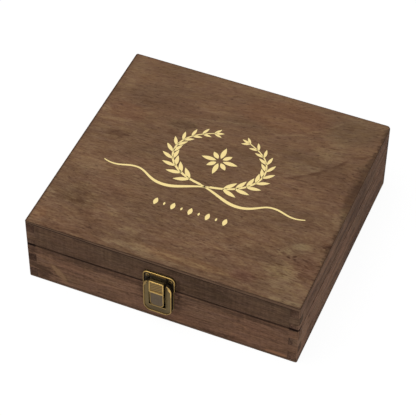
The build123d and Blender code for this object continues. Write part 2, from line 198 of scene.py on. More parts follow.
# by half and side of the case
SIDE_MARKS = {
    ("base", "front"): {
        "figures": [
            # the dark strip under the saw cut
            (-0.34, (-64, 33.4), (76, 22), 0.0, 1),
            (-0.3, (72, 36.0), (62, 20), 0.0, 1),
            # round the golden streak, and the paler foot on the right
            (0.16, (-102, 30.5), (9, 3.4), 0.1),
            (0.4, (-90, 5.5), (7, 3.0), 0.5),
            (-0.5, (-110, 12), (12, 11), 0.5),
            (0.22, (-40, 21), (44, 1.6), -0.1),
            (0.18, (-46, 27), (40, 1.4), -0.16),
            (-0.2, (50, 5), (30, 3)),
            (-0.25, (68, 6), (13, 3)),
            (-0.3, (-121, 16.7), (6, 6)),
            (-0.3, (-121, 34.9), (6, 6)),
            (0.16, (121, 34.9), (7, 6)),
            (1.5, (127, -109, 35), (6, 7, 5.6)),
            # round the latch: painted shadow of the latch on the wood either side of it, and a lighter
            # patch below it
            (-0.3, (18, 27), (4, 15)),
            (-0.5, (17.5, 38), (4, 7)),
            (-0.18, (-18, 28), (4, 14)),
            (0.3, (-1, 8.5), (12, 5)),
        ],
        "lines": [
            (0.62, (-95, 15.6), (13, 3.6), 0.9),
            (0.2, (-98, 20), (6, 2.4), 0.9),
            (0.7, (106, 4.4), (13, 2.6)),
        ],
        "tinges": [
            (-0.6, 1.9, (-95, 15.6), (14, 4.6), 0.9),
            (0.5, 0.6, (106, 4.4), (14, 3.4)),
        ],
    },
    ("base", "right"): {
        "figures": [
            (0.2, (-20, 31), (90, 8)),
            (-0.2, (60, 10), (60, 9)),
            (0.45, (-108, 24), (18, 24)),
            (0.25, (-97, 24), (12, 24)),
            (-0.15, (32, 24), (40, 24)),
            (0.14, (-52, 22), (34, 22)),
            (0.35, (-112, 35), (7, 6)),
            (-0.1, (121, -116, 25.8), (5, 9, 6)),
            (0.2, (121, -116, 7.5), (5, 9, 6)),
        ],
    },
    ("base", "left"): {
        "figures": [
            (-0.3, (-121, -116, 25.8), (6, 9, 6)),
        ],
    },
    ("lid", "front"): {
        "figures": [
            (-0.25, (42, 56), (34, 16)),
            # painted shadow of the latch plate on the rail to its right
            (-0.5, (17.5, 49), (5, 10)),
            (-0.35, (12, 64), (7, 4)),
            (0.4, (-122, 54), (7, 8)),
            (0.25, (121, 53.5), (7, 6)),
            (0.5, (127, -109, 53.5), (6, 7, 6)),
        ],
    },
    ("lid", "right"): {
        "figures": [
            (0.25, (-40, 62), (90, 3)),
            (0.12, (-48, 56), (34, 16)),
            (-0.12, (32, 56), (40, 16)),
            (-0.22, (0, 54), (110, 4)),
            (0.4, (-112, 50), (12, 16)),
            (-0.25, (121, -116, 45.5), (5, 9, 5)),
        ],
    },
}

# ---- finger ends that the stain left pale: centre and radii ----
DRY_ENDS = [
    ((-121, -116, 44), (7, 6, 6)),
    ((121, -116, 52), (7, 6, 16)),
    ((125, -112, 35), (6, 12, 60)),
]

# ---- the glue line under the lid's panel: its fall to the right, and its middle above the panel ----
GLUE_FALL = 0.0068
GLUE_RISE = 0.35

# ---- the keeper's front, less black than the tray round it ----
KEEPER = [
    (1.0, (0, -121, 52.5), (9, 6, 5)),
]

# ---- the upper part of the shield, lighter than its foot ----
SHIELD_FLATS = [(1.0, (side * 10.5, -121, 33), (7, 9, 21)) for side in (-1, 1)]

# ---- where the latch is bright, partly rubbed brass and partly painted highlight, brightest on top edges and the right-hand shoulder, dimmer on the left: strength, centre and radii in millimetres ----
RUBBED_AND_HIGHLIT = [
    (0.7, (0, -118, 59.5), (26, 9, 5)),
    (0.5, (14, -118, 55), (4, 9, 6)),
    # painted highlight on the top of the head's frame
    (1.0, (1, -124, 54), (11, 9, 4)),
    (0.4, (-3, -124, 48), (8, 9, 8)),
    (0.7, (8, -124, 48), (3.6, 9, 7)),
    (0.5, (0, -124, 41), (12, 9, 4)),
    # painted highlight along the right-hand shoulder of the shield
    (0.95, (12, -123, 44), (4.5, 4.2, 9)),
    (0.2, (13, -121, 28), (3, 9, 18)),
    (0.1, (-12.6, -121, 32), (3, 9, 22)),
    (0.25, (0, -121, 13), (14, 9, 4)),
    (0.35, (5.5, -121, 35), (3.5, 9, 11)),
    (0.2, (5.5, -121, 27), (3.5, 9, 8)),
]

# ---- the wreath: where its branches begin and end, and how far the leaves turn from them ----
WREATH_FOOT = math.radians(-84)
WREATH_TIP = math.radians(66)
LEAF_LEAN = 0.62

# ---- the trailing stem: across, up from the wreath's foot, and width, in millimetres ----
TRAIL = [
    (8, -3, 2.2), (26, -14, 3.6), (46, -12, 2.6), (58, -1, 1.5),
    (72, -2, 2.2), (84, -8, 1.5), (94, -4, 1.0),
]


def srgb(red, green, blue):
    """A screen colour, 0 to 255 a channel, as the linear colour that shaders take."""
    levels = [channel / 255 for channel in (red, green, blue)]
    return tuple(s / 12.92 if s <= 0.04045 else ((s + 0.055) / 1.055) ** 2.4 for s in levels)


def colour(name, description, *screen):
    """A colour that a user may change, given as a screen colour."""
    return bpy.props.FloatVectorProperty(
        name=name, description=description, subtype="COLOR", size=3, min=0, max=1,
        default=srgb(*screen),
    )


def number(name, description, default, **kind):
    """A number that a user may change."""
    return bpy.props.FloatProperty(name=name, description=description, default=default, **kind)


def length(name, description, default):
    """A length that a user may change, given in millimetres."""
    return number(name, description, default * MM, unit="LENGTH", min=0, precision=5)


def share(name, description, default):
    """A share from 0 to 1 that a user may change."""
    return number(name, description, default, subtype="FACTOR", min=0, max=1)


def angle(name, description, default):
    """An angle that a user may change, in radians."""
    return number(name, description, default, subtype="ANGLE")


# ---- sizes and colours that a user may change ----
class WoodLooks(bpy.types.PropertyGroup):
    """Colours of the stained case"""

    top_dark: colour("Top, dark grain", "Dark grain of the lid's veneer", 92, 66, 50)
    top_mid: colour("Top", "Ground colour of the lid's veneer", 114, 87, 67)
    top_light: colour("Top, light grain", "Light bands of the lid's veneer", 135, 110, 83)
    rail_dark: colour("Rails, dark grain", "Dark grain of the lid's sides", 70, 53, 41)
    rail_mid: colour("Rails", "Ground colour of the lid's sides", 90, 69, 55)
    rail_light: colour("Rails, light grain", "Light grain of the lid's sides", 109, 85, 68)
    board_dark: colour("Base, dark grain", "Dark grain of the base's sides", 85, 63, 50)
    board_mid: colour("Base", "Ground colour of the base's sides", 112, 84, 67)
    board_light: colour("Base, light grain", "Light grain of the base's sides", 135, 102, 81)
    pore: colour("Pores", "Short dark pores of the grain", 62, 43, 34)
    end_grain: share("End grain", "How much the stain darkens the finger ends", 0.3)
    joint: colour("Joints", "Glue lines and the scorched edge of the saw cut", 34, 23, 19)
    sheen: share("Roughness", "Roughness of the oiled stain", 0.7)
    lean: number("Lean", "How far the lid's grain turns towards the back", 0.16)


class MetalLooks(bpy.types.PropertyGroup):
    """Colours of the brass"""

    worn: colour("Worn edge", "Brass rubbed bright on rims and edges", 218, 182, 108)
    edge: colour("Edge", "Dulled brass of beads and less rubbed edges", 134, 110, 66)
    flat: colour("Patina", "Antique finish on the flats", 102, 86, 55)
    shade: colour("Shade", "Darker patina at the foot of the shield", 80, 66, 42)
    pad: colour("Pad", "Darker finish of the lever's pad", 93, 79, 62)
    recess: colour("Recess", "Blackened ground of the pressed recesses", 42, 33, 20)
    knurl: colour("Thumb panel", "Rubbed panel in the head of the lever", 142, 114, 67)
    steel: colour("Spring", "Spring steel of the latch", 150, 150, 150)


class LatchSizes(bpy.types.PropertyGroup):
    """Fine sizes of the latch that its plain solids leave out"""

    sheet: length("Lid plate", "Thickness of the lid plate's sheet", 1.2)
    rim: length("Rim", "Width of the lid plate's raised rim", 1.1)
    rim_edge: length("Rim edge", "Radius of the rim's edges", 0.42)
    rim_rise: length("Rim rise", "Height of the rim above the plate", 0.9)
    bead: length("Bead", "Width of the shield's bead", 0.9)
    bead_rise: length("Bead rise", "Height of the bead above the shield", 0.5)
    softness: length("Edge radius", "Radius of the pressed edges", 0.28)
    frame: length("Head frame", "Width of the frame round the thumb panel", 1.15)


class PrintLooks(bpy.types.PropertyGroup):
    """Gold print on the lid"""

    gold: colour("Gold", "Colour of the print", 247, 222, 150)
    scorch: colour("Scorch", "Burnt line round the print", 70, 46, 28)
    thickness: length("Thickness", "Height of the print above the wood", 0.05)
    halo: length("Scorch width", "Burnt wood that shows beside a stroke", 0.22)


class StudioLooks(bpy.types.PropertyGroup):
    """Floor, lamps and camera"""

    ambient: number("Ambient", "Strength of the even light round the box", 0.5, min=0)
    key: number("Key lamp", "Power of the large lamp overhead", 16, min=0, unit="POWER")
    fill: number("Fill lamp", "Power of the lamp in front", 3, min=0, unit="POWER")
    lens: number("Focal length", "Lens in millimetres", 148.127, min=1)
    azimuth: angle("Azimuth", "Camera's way round the box", math.radians(22.0346))
    elevation: angle("Elevation", "Camera's height above the floor", math.radians(46.7879))
    roll: angle("Roll", "Camera's tilt about its own axis", math.radians(0.8406))
    distance: length("Distance", "Camera to the point that it looks at", 1527.3)
    aim: bpy.props.FloatVectorProperty(
        name="Aim", description="Point that the camera looks at", subtype="TRANSLATION",
        unit="LENGTH", size=3, default=(-0.004159, 0, 0.022827),
    )


GROUPS = {
    "keepsake_wood": WoodLooks,
    "keepsake_metal": MetalLooks,
    "keepsake_latch": LatchSizes,
    "keepsake_print": PrintLooks,
    "keepsake_studio": StudioLooks,
}


# ---- shading ----
class Nodes:
    """A node tree in the making."""

    def __init__(self, owner):
        owner.use_nodes = True
        self.tree = owner.node_tree

    def feed(self, socket, value):
        """Links or fills one input."""
        if isinstance(value, bpy.types.NodeSocket):
            self.tree.links.new(value, socket)
        elif socket.type == "RGBA" and len(value) == 3:
            socket.default_value = (*value, 1)
        else:
            socket.default_value = value

    def add(self, kind, inputs, **options):
        """Adds a node, its inputs given by name or number."""
        node = self.tree.nodes.new("ShaderNode" + kind)
        for option, value in options.items():
            setattr(node, option, value)
        for key, value in inputs.items():
            self.feed(node.inputs[key], value)
        return node

    def maths(self, operation, *values):
        """What a Math node gives."""
        return self.add("Math", dict(enumerate(values)), operation=operation).outputs[0]

    def show_white(self, share, lit, white, output):
        """Feeds an output with what is lit, and with white for a share of the rays that show it."""
        rays = self.add("LightPath", {}).outputs
        seen = rays["Is Camera Ray"]
        for kind in ("Is Glossy Ray", "Is Transmission Ray"):
            seen = self.maths("MAXIMUM", seen, rays[kind])
        inputs = {0: self.maths("MULTIPLY", seen, share), 1: lit.outputs[0], 2: white.outputs[0]}
        self.feed(output, self.add("MixShader", inputs).outputs[0])


class Finish(Nodes):
    """A material in the making, with short names for the nodes that the finishes share."""

    def __init__(self, name):
        self.material = bpy.data.materials.new(name)
        super().__init__(self.material)
        self.shader = self.tree.nodes["Principled BSDF"]

    def surface(self, **values):
        """Sets inputs of the shader, an underscore standing for a space."""
        for key, value in values.items():
            self.feed(self.shader.inputs[key.replace("_", " ")], value)
        return self.material

    def place(self):
        """Coordinates on the piece, in millimetres."""
        return self.vector("SCALE", self.add("TexCoord", {}).outputs["Object"], Scale=1 / MM)

    def vector(self, operation, *values, **named):
        """What a Vector Math node gives."""
        inputs = {**dict(enumerate(values)), **named}
        node = self.add("VectorMath", inputs, operation=operation)
        return node.outputs["Value" if operation == "LENGTH" else "Vector"]

    def spread(self, noise, amount, base):
        """The base, raised or lowered by how far a noise is from its middle."""
        return self.maths("MULTIPLY_ADD", self.maths("SUBTRACT", noise, 0.5), amount, base)

    def axes(self, vector):
        """X, Y and Z of a vector."""
        return self.add("SeparateXYZ", {0: vector}).outputs

    def noise(self, vector, stretch, scale, detail=2.0, roughness=0.5):
        """Noise in cells of 1/scale mm, drawn out where stretch is small."""
        stretched = self.vector("MULTIPLY", vector, stretch)
        inputs = {"Vector": stretched, "Scale": scale, "Detail": detail, "Roughness": roughness}
        return self.add("TexNoise", inputs).outputs[0]

    def soft(self, value, start, end):
        """0 before start and 1 after end, smooth between; start may be the larger."""
        inputs = {"Value": value, "From Min": start, "From Max": end}
        return self.add("MapRange", inputs, interpolation_type="SMOOTHSTEP").outputs[0]

    def mix(self, factor, first, second):
        """From the first colour at 0 to the second at 1."""
        return self.add("Mix", {0: factor, 6: first, 7: second}, data_type="RGBA").outputs[2]

    def ramp(self, factor, stops):
        """Colours at places along a factor."""
        node = self.add("ValToRGB", {0: factor})
        elements = node.color_ramp.elements
        while len(elements) < len(stops):
            elements.new(0.5)
        for element, (position, tint) in zip(elements, stops):
            element.position = position
            element.color = (*tint, 1)
        return node.outputs[0]

    def patch(self, vector, centre, radii, turn=(0, 0, 0), edge=None):
        """1 in the middle of a turned ellipsoid, fading to 0 at its surface.

        An edge, (axis, side), cuts it off sharply at its middle, so that it lies on one side only.
        """
        inputs = {"Vector": vector, "Location": centre, "Rotation": turn, "Scale": radii}
        local = self.add("Mapping", inputs, vector_type="TEXTURE").outputs[0]
        ball = self.add("TexGradient", {"Vector": local}, gradient_type="SPHERICAL").outputs["Fac"]
        whole = self.soft(ball, 0.0, 0.6)
        if edge is None:
            return whole
        axis, side = edge
        return self.maths("MULTIPLY", whole, self.soft(self.axes(local)[axis], -0.04 * side, 0.06 * side))

    def relief(self, height, depth, strength):
        """Bump of a height field, depth in metres."""
        inputs = {"Height": height, "Distance": depth, "Strength": strength}
        self.feed(self.shader.inputs["Normal"], self.add("Bump", inputs).outputs[0])


class Wood(Finish):
    """A stained wood with its grain along X or Y.

    Its level is dark at 0 and light at 1; streaks, saw marks and figures raise and lower it.
    """

    def __init__(self, name, along, flat_axis, shift, lean=0.0):
        super().__init__(name)
        self.along = along
        self.flat_axis = flat_axis
        self.own = self.place()
        self.x, self.y, self.z = self.axes(self.own)
        self.level = 0.5
        self.warmth = 0.5
        self.gold = 0.5
        self.calm = 1.0
        self.face = FACES[flat_axis]
        turned = self.maths("MULTIPLY", self.soft(self.y, -70.0, 116.0), lean)
        across = self.maths("SUBTRACT", self.y, self.maths("MULTIPLY", turned, self.x))
        straight = self.add("CombineXYZ", {0: self.x, 1: across, 2: self.z}).outputs[0]
        place = self.vector("ADD", straight, (shift, shift, shift))
        sway = self.spread(self.cells(place, 30.0, 70.0), 9.0, 0.0)
        self.grain = self.vector("ADD", place, self.vector("SCALE", (1, 1, 1), Scale=sway))

    def cells(self, place, across, lengthways, detail=2.0):
        """Noise in cells of a width and a length, in millimetres."""
        size = {"X": (lengthways, across, across), "Y": (across, lengthways, across)}[self.along]
        return self.noise(place, tuple(1 / side for side in size), 1.0, detail, 0.55)

    def streaks(self, amount, across, lengthways, detail=2.0):
        """Lighter and darker streaks that follow the grain."""
        noise = self.cells(self.grain, across, lengthways, detail)
        self.level = self.spread(noise, self.maths("MULTIPLY", self.calm, amount), self.level)

    def saw_marks(self, amount, pitch, tall):
        """Faint upright marks of the saw, across the grain."""
        noise = self.noise(self.own, (1 / pitch, 1 / pitch, 1 / tall), 1.0, 3.0, 0.6)
        self.level = self.spread(noise, amount, self.level)

    def spot(self, place, centre, radii, turn=0.0, side=None):
        """A patch turned about the axis across the face, which a centre on the face leaves out."""
        axis = self.flat_axis
        if len(centre) == 2:
            across, reach = self.face
            centre = (*centre[:axis], across, *centre[axis:])
            radii = (*radii[:axis], reach, *radii[axis:])
        turned = [turn if number == axis else 0 for number in range(3)]
        upwards = 1 if axis == 2 else 2
        return self.patch(place, centre, radii, turned, (upwards, side) if side else None)

    def mark(self, marks):
        """Adds the figures, the fine lines and the tinges of one board."""
        self.figures(marks.get("figures", ()), 9.0)
        self.figures(marks.get("lines", ()), 1.2)
        self.tinge(marks.get("tinges", ()))

    def figures(self, places, ragged):
        """Lighter and darker figures, their rims ragged by so many millimetres.

        Each is (strength, centre, radii), in millimetres, and may go on with a turn in radians and with
        the side of the grain, 1 or -1, that it keeps to, with a crisp edge along its middle.
        """
        if not places:
            return
        ragged = self.spread(self.cells(self.grain, 2.2, 8.0, 3.0), ragged, 0.0)
        jagged = [0.7, 0.7, 0.7]
        jagged["XY".index(self.along)] = 3.2
        jagged[self.flat_axis] = 0.0
        own = self.vector("ADD", self.own, self.vector("SCALE", jagged, Scale=ragged))
        total = 0.0
        for strength, *spot in places:
            total = self.maths("MULTIPLY_ADD", self.spot(own, *spot), strength, total)
        self.level = self.maths("ADD", self.level, total)

    def tinge(self, places):
        """Tinted places: (how much redder, how much more golden, centre, radii), perhaps with a turn."""
        for redder, golder, *spot in places:
            patch = self.spot(self.own, *spot)
            self.warmth = self.maths("MULTIPLY_ADD", patch, redder, self.warmth)
            self.gold = self.maths("MULTIPLY_ADD", patch, golder, self.gold)

    def stain(self, tones, pore_depth):
        """The stain's colour over the grain, with dark pores sunk into it."""
        dark, mid, light, deep = tones
        shown = self.maths("MULTIPLY_ADD", self.level, 0.6, 0.4)
        tint = self.ramp(shown, [(0.0, deep), (0.46, dark), (0.7, mid), (0.94, light)])
        warm = self.spread(self.cells(self.grain, 26.0, 60.0), 1.6, self.warmth)
        grey = self.vector("MULTIPLY", tint, (0.95, 1.01, 1.0))
        tint = self.mix(warm, grey, self.vector("MULTIPLY", tint, (1.05, 0.97, 0.96)))
        gold = self.spread(self.cells(self.grain, 4.0, 14.0), 1.6, self.gold)
        blue = self.vector("MULTIPLY", tint, (0.99, 1.0, 1.08))
        tint = self.mix(gold, blue, self.vector("MULTIPLY", tint, (1.01, 1.0, 0.9)))
        pores = self.soft(self.cells(self.grain, 1.1, 5.0), 0.42, 0.3)
        self.height = self.maths("SUBTRACT", self.cells(self.grain, 1.5, 8.0), pores)
        return self.mix(self.maths("MULTIPLY", pores, pore_depth), tint, deep)

    def rim(self, distance, width, ragged=0.8):
        """1 at the end of a distance that falls to 0, fading over a width, both in millimetres."""
        uneven = self.spread(self.noise(self.own, (1, 1, 1), 0.3, 3.0), ragged * 4, distance)
        return self.soft(uneven, width, width * 0.2)

    def darken(self, tint, places, strength, deep):
        """The tint, turned towards a deep one in places."""
        return self.mix(self.maths("MULTIPLY", places, strength), tint, deep)

    def done(self, tint, sheen):
        """Joins tint, sheen and pores to the shader and returns the material."""
        self.relief(self.height, 0.1 * MM, 0.5)
        return self.surface(Base_Color=tint, Roughness=sheen, Specular_IOR_Level=0.015)

    def facing(self, axis, start=0.75, end=0.92):
        """1 where the surface looks along one axis of the piece, either way."""
        normal = self.add("TexCoord", {}).outputs["Normal"]
        return self.soft(self.maths("ABSOLUTE", self.axes(normal)[axis]), start, end)

    def near(self, value, target, reach):
        """1 where a value is at its target, falling to 0 so far away."""
        gap = self.maths("ABSOLUTE", self.maths("SUBTRACT", value, target))
        return self.soft(gap, reach, reach * 0.25)


def lid_glue_line(wood):
    """Level of the glue line under the lid's panel, lower towards the right."""
    return wood.maths("MULTIPLY_ADD", wood.x, -GLUE_FALL, PANEL_FOOT / MM + GLUE_RISE)


def board_finish(name, looks, side, tones, marks, contrast, saw_marks, shift):
    """Finish of one side of the case: long grain, finger ends and the scorched saw cut."""
    long_board = side in ("front", "back")
    wood = Wood(name, "X" if long_board else "Y", 1 if long_board else 0, shift)
    wood.calm = contrast
    drawn = 1.0 if long_board else 2.5
    wood.streaks(0.5, 6.0, 60.0 * drawn)
    wood.streaks(1.0, 1.6, 24.0 * drawn)
    wood.streaks(0.65, 1.2, 3.0 * drawn, 1.0)
    wood.saw_marks(saw_marks, 2.2, 24.0)
    wood.mark(marks)
    tint = wood.stain(tones, 0.5)
    tint = finger_ends(wood, looks, tint, long_board)
    tint = scorched_and_shaded_edges(wood, looks, tint, tones[2], long_board)
    return wood.done(tint, looks.sheen)


def finger_ends(wood, looks, tint, long_board):
    """The stain soaks into the finger ends, more in one than in the next, inside their glue lines."""
    end_axis, sideways, outer = (0, wood.y, -FRONT / MM) if long_board else (1, wood.x, SIDE / MM)
    lined = 0.22 if long_board else 0.36
    soak = looks.end_grain * 2
    uneven = wood.spread(wood.noise(wood.own, (0.02, 0.02, 0.09), 1.0, 1.0), -2.0 * soak, soak * 0.6)
    dry = 0.0
    for centre, radii in DRY_ENDS:
        dry = wood.maths("MAXIMUM", dry, wood.patch(wood.own, centre, radii))
    wet = wood.maths("MULTIPLY", uneven, wood.maths("SUBTRACT", 1.0, dry))
    rings = wood.noise(wood.own, (1, 1, 0.12), 0.9, 4.0, 0.65)
    ringed = wood.vector("MULTIPLY", tint, (0.86, 0.86, 0.88))
    ring_part = wood.maths("MULTIPLY_ADD", dry, -0.8, 1.0)
    soaked = wood.mix(wood.maths("MULTIPLY", wood.soft(rings, 0.3, 0.7), ring_part), tint, ringed)
    soaked = wood.darken(soaked, wet, 1.0, looks.pore)
    step = wood.maths("DIVIDE", wood.maths("SUBTRACT", wood.z, PANEL / MM), FINGER / MM)
    edge = wood.soft(wood.maths("PINGPONG", step, 0.5), 0.05, 0.02)
    glue = wood.near(wood.maths("ABSOLUTE", sideways), outer - BOARD / MM, 0.7)
    soaked = wood.darken(soaked, wood.maths("MAXIMUM", edge, glue), lined, looks.joint)
    return wood.mix(wood.facing(end_axis), tint, soaked)


def scorched_and_shaded_edges(wood, looks, tint, rubbed, long_board):
    """The saw cut, darkest near the corners, the panels' glue lines, painted shade at the rounded corners
    and a painted highlight along their arris.
    """
    lateral, reach = (wood.x, SIDE / MM) if long_board else (wood.y, -FRONT / MM)
    ahead = wood.maths("SUBTRACT", reach, wood.maths("ABSOLUTE", lateral))
    corner = wood.soft(ahead, 11.0, 4.0)
    width = wood.maths("MULTIPLY_ADD", corner, 0.3, 1.1)
    gap = wood.maths("ABSOLUTE", wood.maths("SUBTRACT", wood.z, SEAM / MM))
    cut = wood.soft(wood.maths("DIVIDE", gap, width), 1.3, 0.7)
    scorch, lined, worn = (0.66, 0.6, 0.4) if long_board else (0.2, 0.35, 0.2)
    cut = wood.maths("MULTIPLY", cut, wood.maths("MULTIPLY_ADD", corner, 1 - scorch, scorch))
    tint = wood.darken(tint, cut, 1.0, looks.joint)
    under_lid = lid_glue_line(wood) if long_board else PANEL_FOOT / MM
    over_foot = wood.maths("MULTIPLY", wood.near(wood.z, PANEL / MM, 0.6), 0.5)
    lines = wood.maths("MAXIMUM", over_foot, wood.near(wood.z, under_lid, 0.9))
    tint = wood.darken(tint, lines, lined, looks.joint)
    # painted shade at the rounded vertical corners
    tint = wood.darken(tint, wood.rim(ahead, 1.3), worn, looks.joint)
    # painted highlight where the corner's rounding faces halfway between front and side
    arris = wood.maths("MULTIPLY", wood.facing(0, 0.35, 0.65), wood.facing(1, 0.35, 0.65))
    return wood.mix(wood.maths("MULTIPLY", arris, 0.6), tint, rubbed)


def panel_finish(name, looks, tones, foot, marks, shift=0.0):
    """Finish of a plywood panel: veneer on both faces and the plies round its edge."""
    wood = Wood(name, "X", 2, shift, looks.lean if foot else 0.0)
    wood.calm = wood.add("MapRange", {"Value": wood.y, 1: -70.0, 2: 100.0, 3: 1.0, 4: 0.6}).outputs[0]
    wood.streaks(0.55, 26.0, 60.0)
    wood.streaks(0.5, 7.0, 24.0)
    wood.streaks(1.1, 1.7, 8.0)
    wood.streaks(0.5, 1.2, 2.0, 1.0)
    wood.mark(marks)
    tint = wood.stain(tones, 0.55)
    tint = dark_rim(wood, looks, tint)

    outer = foot + PANEL / MM if foot else 0.0
    depth = wood.maths("ABSOLUTE", wood.maths("SUBTRACT", wood.z, outer))
    plies = wood.noise(wood.own, (0.1, 0.1, 1), 0.9, 3.0, 0.6)
    core = wood.mix(wood.soft(plies, 0.3, 0.6), looks.rail_mid, looks.rail_light)
    joint = wood.near(wood.z, lid_glue_line(wood), 0.9) if foot else wood.near(depth, PANEL / MM, 0.5)
    joint = wood.maths("MULTIPLY", joint, wood.maths("MULTIPLY_ADD", wood.facing(1), 0.45, 0.4))
    arris = wood.maths("MULTIPLY", wood.near(depth, 0.0, 0.7), 0.75)
    core = wood.darken(core, wood.maths("MAXIMUM", joint, arris), 1.0, looks.joint)
    tint = wood.mix(wood.facing(2, 0.6, 0.97), core, tint)
    return wood.done(tint, looks.sheen)


def dark_rim(wood, looks, tint):
    """The top is darker at its rim, painted shade where its edges round off, and the stain is darker in a
    ragged band along the right-hand edge.

    The band starts behind the knot, and is widest a little behind the middle of the edge.
    """
    right = wood.maths("SUBTRACT", SIDE / MM, wood.x)
    left = wood.maths("ADD", SIDE / MM, wood.x)
    ahead = wood.maths("SUBTRACT", -FRONT / MM, wood.maths("ABSOLUTE", wood.y))
    # painted shade along the rounded edges of the top, widest on the left
    rim = wood.rim(wood.maths("MINIMUM", wood.maths("MULTIPLY", left, 0.6), ahead), 1.6, 0.1)
    tint = wood.darken(tint, rim, 0.6, looks.joint)
    behind = wood.soft(wood.y, -96.0, -60.0)
    middle = wood.maths("ABSOLUTE", wood.maths("SUBTRACT", wood.y, 30.0))
    width = wood.maths("MULTIPLY_ADD", wood.soft(middle, 48.0, 24.0), 8.0, 3.6)
    uneven = wood.spread(wood.cells(wood.grain, 3.0, 7.0, 3.0), 12.0, right)
    band = wood.soft(wood.maths("DIVIDE", uneven, width), 1.0, 0.25)
    band = wood.maths("MULTIPLY", band, behind)
    return wood.darken(tint, wood.maths("MAXIMUM", band, wood.rim(right, 1.6, 0.1)), 0.5, looks.joint)


def brass_finish(name, tint, dulled, roughness, mottle=0.35, rubbed=(), metallic=1.0):
    """Brass with cloudy tarnish and fine scratches.

    With rubbed places, (strength, centre, radii) in millimetres, it is bright only there; for the worn
    brass these places are partly rubbed brass and partly painted highlight.
    """
    finish = Finish(name)
    place = finish.place()
    clouds = finish.noise(place, (1, 1, 1), 0.45, 4.0, 0.6)
    scratches = finish.noise(place, (0.25, 1, 3), 3.0, 3.0, 0.6)
    dull = finish.maths("MULTIPLY", finish.soft(clouds, 0.35, 0.7), mottle)
    if rubbed:
        bright = 0.0
        for strength, centre, radii in rubbed:
            patch = finish.maths("MULTIPLY", finish.patch(place, centre, radii), strength)
            bright = finish.maths("MAXIMUM", bright, patch)
        dull = finish.maths("MAXIMUM", dull, finish.maths("SUBTRACT", 1.0, bright))
    dull = finish.maths("MULTIPLY_ADD", finish.soft(scratches, 0.62, 0.75), 0.2, dull)
    body = finish.mix(dull, tint, dulled)
    finish.relief(scratches, 0.02 * MM, 0.3)
    rough = finish.maths("MULTIPLY_ADD", clouds, 0.22, roughness - 0.1)
    return finish.surface(Base_Color=body, Metallic=metallic, Roughness=rough)


def shared_brass(context):
    """The finishes of the pressed brass, in the order of their slots, made when first asked for."""
    looks = context.scene.keepsake_metal
    finishes = {
        "brass_patina": (looks.flat, looks.recess, 0.42, 0.3),
        # worn brass, bright only where the latch is rubbed and where highlight is painted
        "brass_worn_and_highlit": (looks.worn, looks.edge, 0.5, 0.1, RUBBED_AND_HIGHLIT),
        "brass_recess": (between(looks.recess, looks.flat, 0.7), looks.recess, 0.62, 0.2, KEEPER, 0.8),
        "brass_bead": (looks.edge, looks.flat, 0.36, 0.5),
        "brass_pad": (looks.pad, looks.recess, 0.46, 0.2),
    }
    for name, values in finishes.items():
        if name not in bpy.data.materials:
            brass_finish(name, *values)
    return [bpy.data.materials[name] for name in finishes]


def between(first, second, part):
    """The colour so far of the way from the first to the second."""
    return tuple(a + (b - a) * part for a, b in zip(first, second))


def stains(looks, part):
    """The dark, middle and light tones of one part of the case, and the tone of its pores."""
    return [*(getattr(looks, f"{part}_{tone}") for tone in ("dark", "mid", "light")), looks.pore]


def cooler(tone):
    """A colour with less red and more blue."""
    red, green, blue = tone
    return red * 0.96, green, blue * 1.05


def dress(node, material):
    """Gives a carried node its finish."""
    for holder in frame["nodes"][node].material_slots:
        holder.material = material


# ---- modelling ----
def on_front(x, proud, z):
    """A point in front of the case: across, out from the wood and up."""
    return Vector((x, FRONT - proud, z))


def outwards(distance):
    """A shift away from the wood."""
    return Vector((0, -distance, 0))


def only(parts, kind):
    """Those of an operator's results that are vertices, edges or faces."""
    return [part for part in parts if isinstance(part, kind)]


def front_face(bm, corners, proud):
    """One face, parallel to the front, through corners given as (across, up)."""
    return bm.faces.new([bm.verts.new(on_front(x, proud, z)) for x, z in corners])


def side_face(bm, corners, x):
    """One face, parallel to the sides, through corners given as (out, up)."""
    return bm.faces.new([bm.verts.new(on_front(x, proud, z)) for proud, z in corners])


def mirrored(corners):
    """Right-hand corners, foot to head, followed by their mirror images."""
    return corners + [(-x, z) for x, z in reversed(corners)]


def rounded(bm, face, verts, radius, steps=5):
    """Rounds some corners of a loose face and returns the face that takes its place."""
    others = set(bm.faces) - {face}
    bmesh.ops.bevel(
        bm, geom=verts, offset=radius, offset_type="OFFSET", segments=steps, profile=0.5,
        affect="VERTICES", material=-1, clamp_overlap=True,
    )
    return next(part for part in bm.faces if part not in others)


def extrude(bm, face, shift, finish=None):
    """Extrudes a face and returns the one at its far end, in its finish if one is given."""
    region = [face, *face.edges, *face.verts]
    made = bmesh.ops.extrude_face_region(bm, geom=region)["geom"]
    bmesh.ops.translate(bm, vec=shift, verts=only(made, bmesh.types.BMVert))
    far = only(made, bmesh.types.BMFace)[0]
    if finish is not None:
        far.material_index = finish
    return far


def inset(bm, face, width):
    """Insets a face, which becomes the inner one."""
    bmesh.ops.inset_region(bm, faces=[face], thickness=width, use_even_offset=True, use_boundary=True)
    return face


def cut_level(bm, faces, place, axis, **options):
    """Cuts faces where a plane square to an axis crosses them."""
    edges = dict.fromkeys(edge for face in faces for edge in face.edges)
    verts = dict.fromkeys(vert for face in faces for vert in face.verts)
    return bmesh.ops.bisect_plane(
        bm, geom=[*faces, *edges, *verts], dist=ON_CUT, plane_co=Vector(axis) * place, plane_no=axis,
        **options,
    )


def creases(bm, proud):
    """Sharp edges that lie so far out from the wood."""
    bmesh.ops.recalc_face_normals(bm, faces=bm.faces)
    return [
        edge for edge in bm.edges
        if all(abs(FRONT - proud - vert.co.y) < LEVEL for vert in edge.verts)
        and edge.calc_face_angle(0) > CREASE
    ]


def soften(bm, edges, radius, finish=WORN, steps=3):
    """Rounds edges; hands polish them, so the rounding takes the worn finish, which also carries painted
    highlights.
    """
    made = bmesh.ops.bevel(
        bm, geom=edges, offset=radius, offset_type="OFFSET", segments=steps, profile=0.5,
        affect="EDGES", material=-1, clamp_overlap=True,
    )
    for face in made["faces"]:
        face.material_index = finish


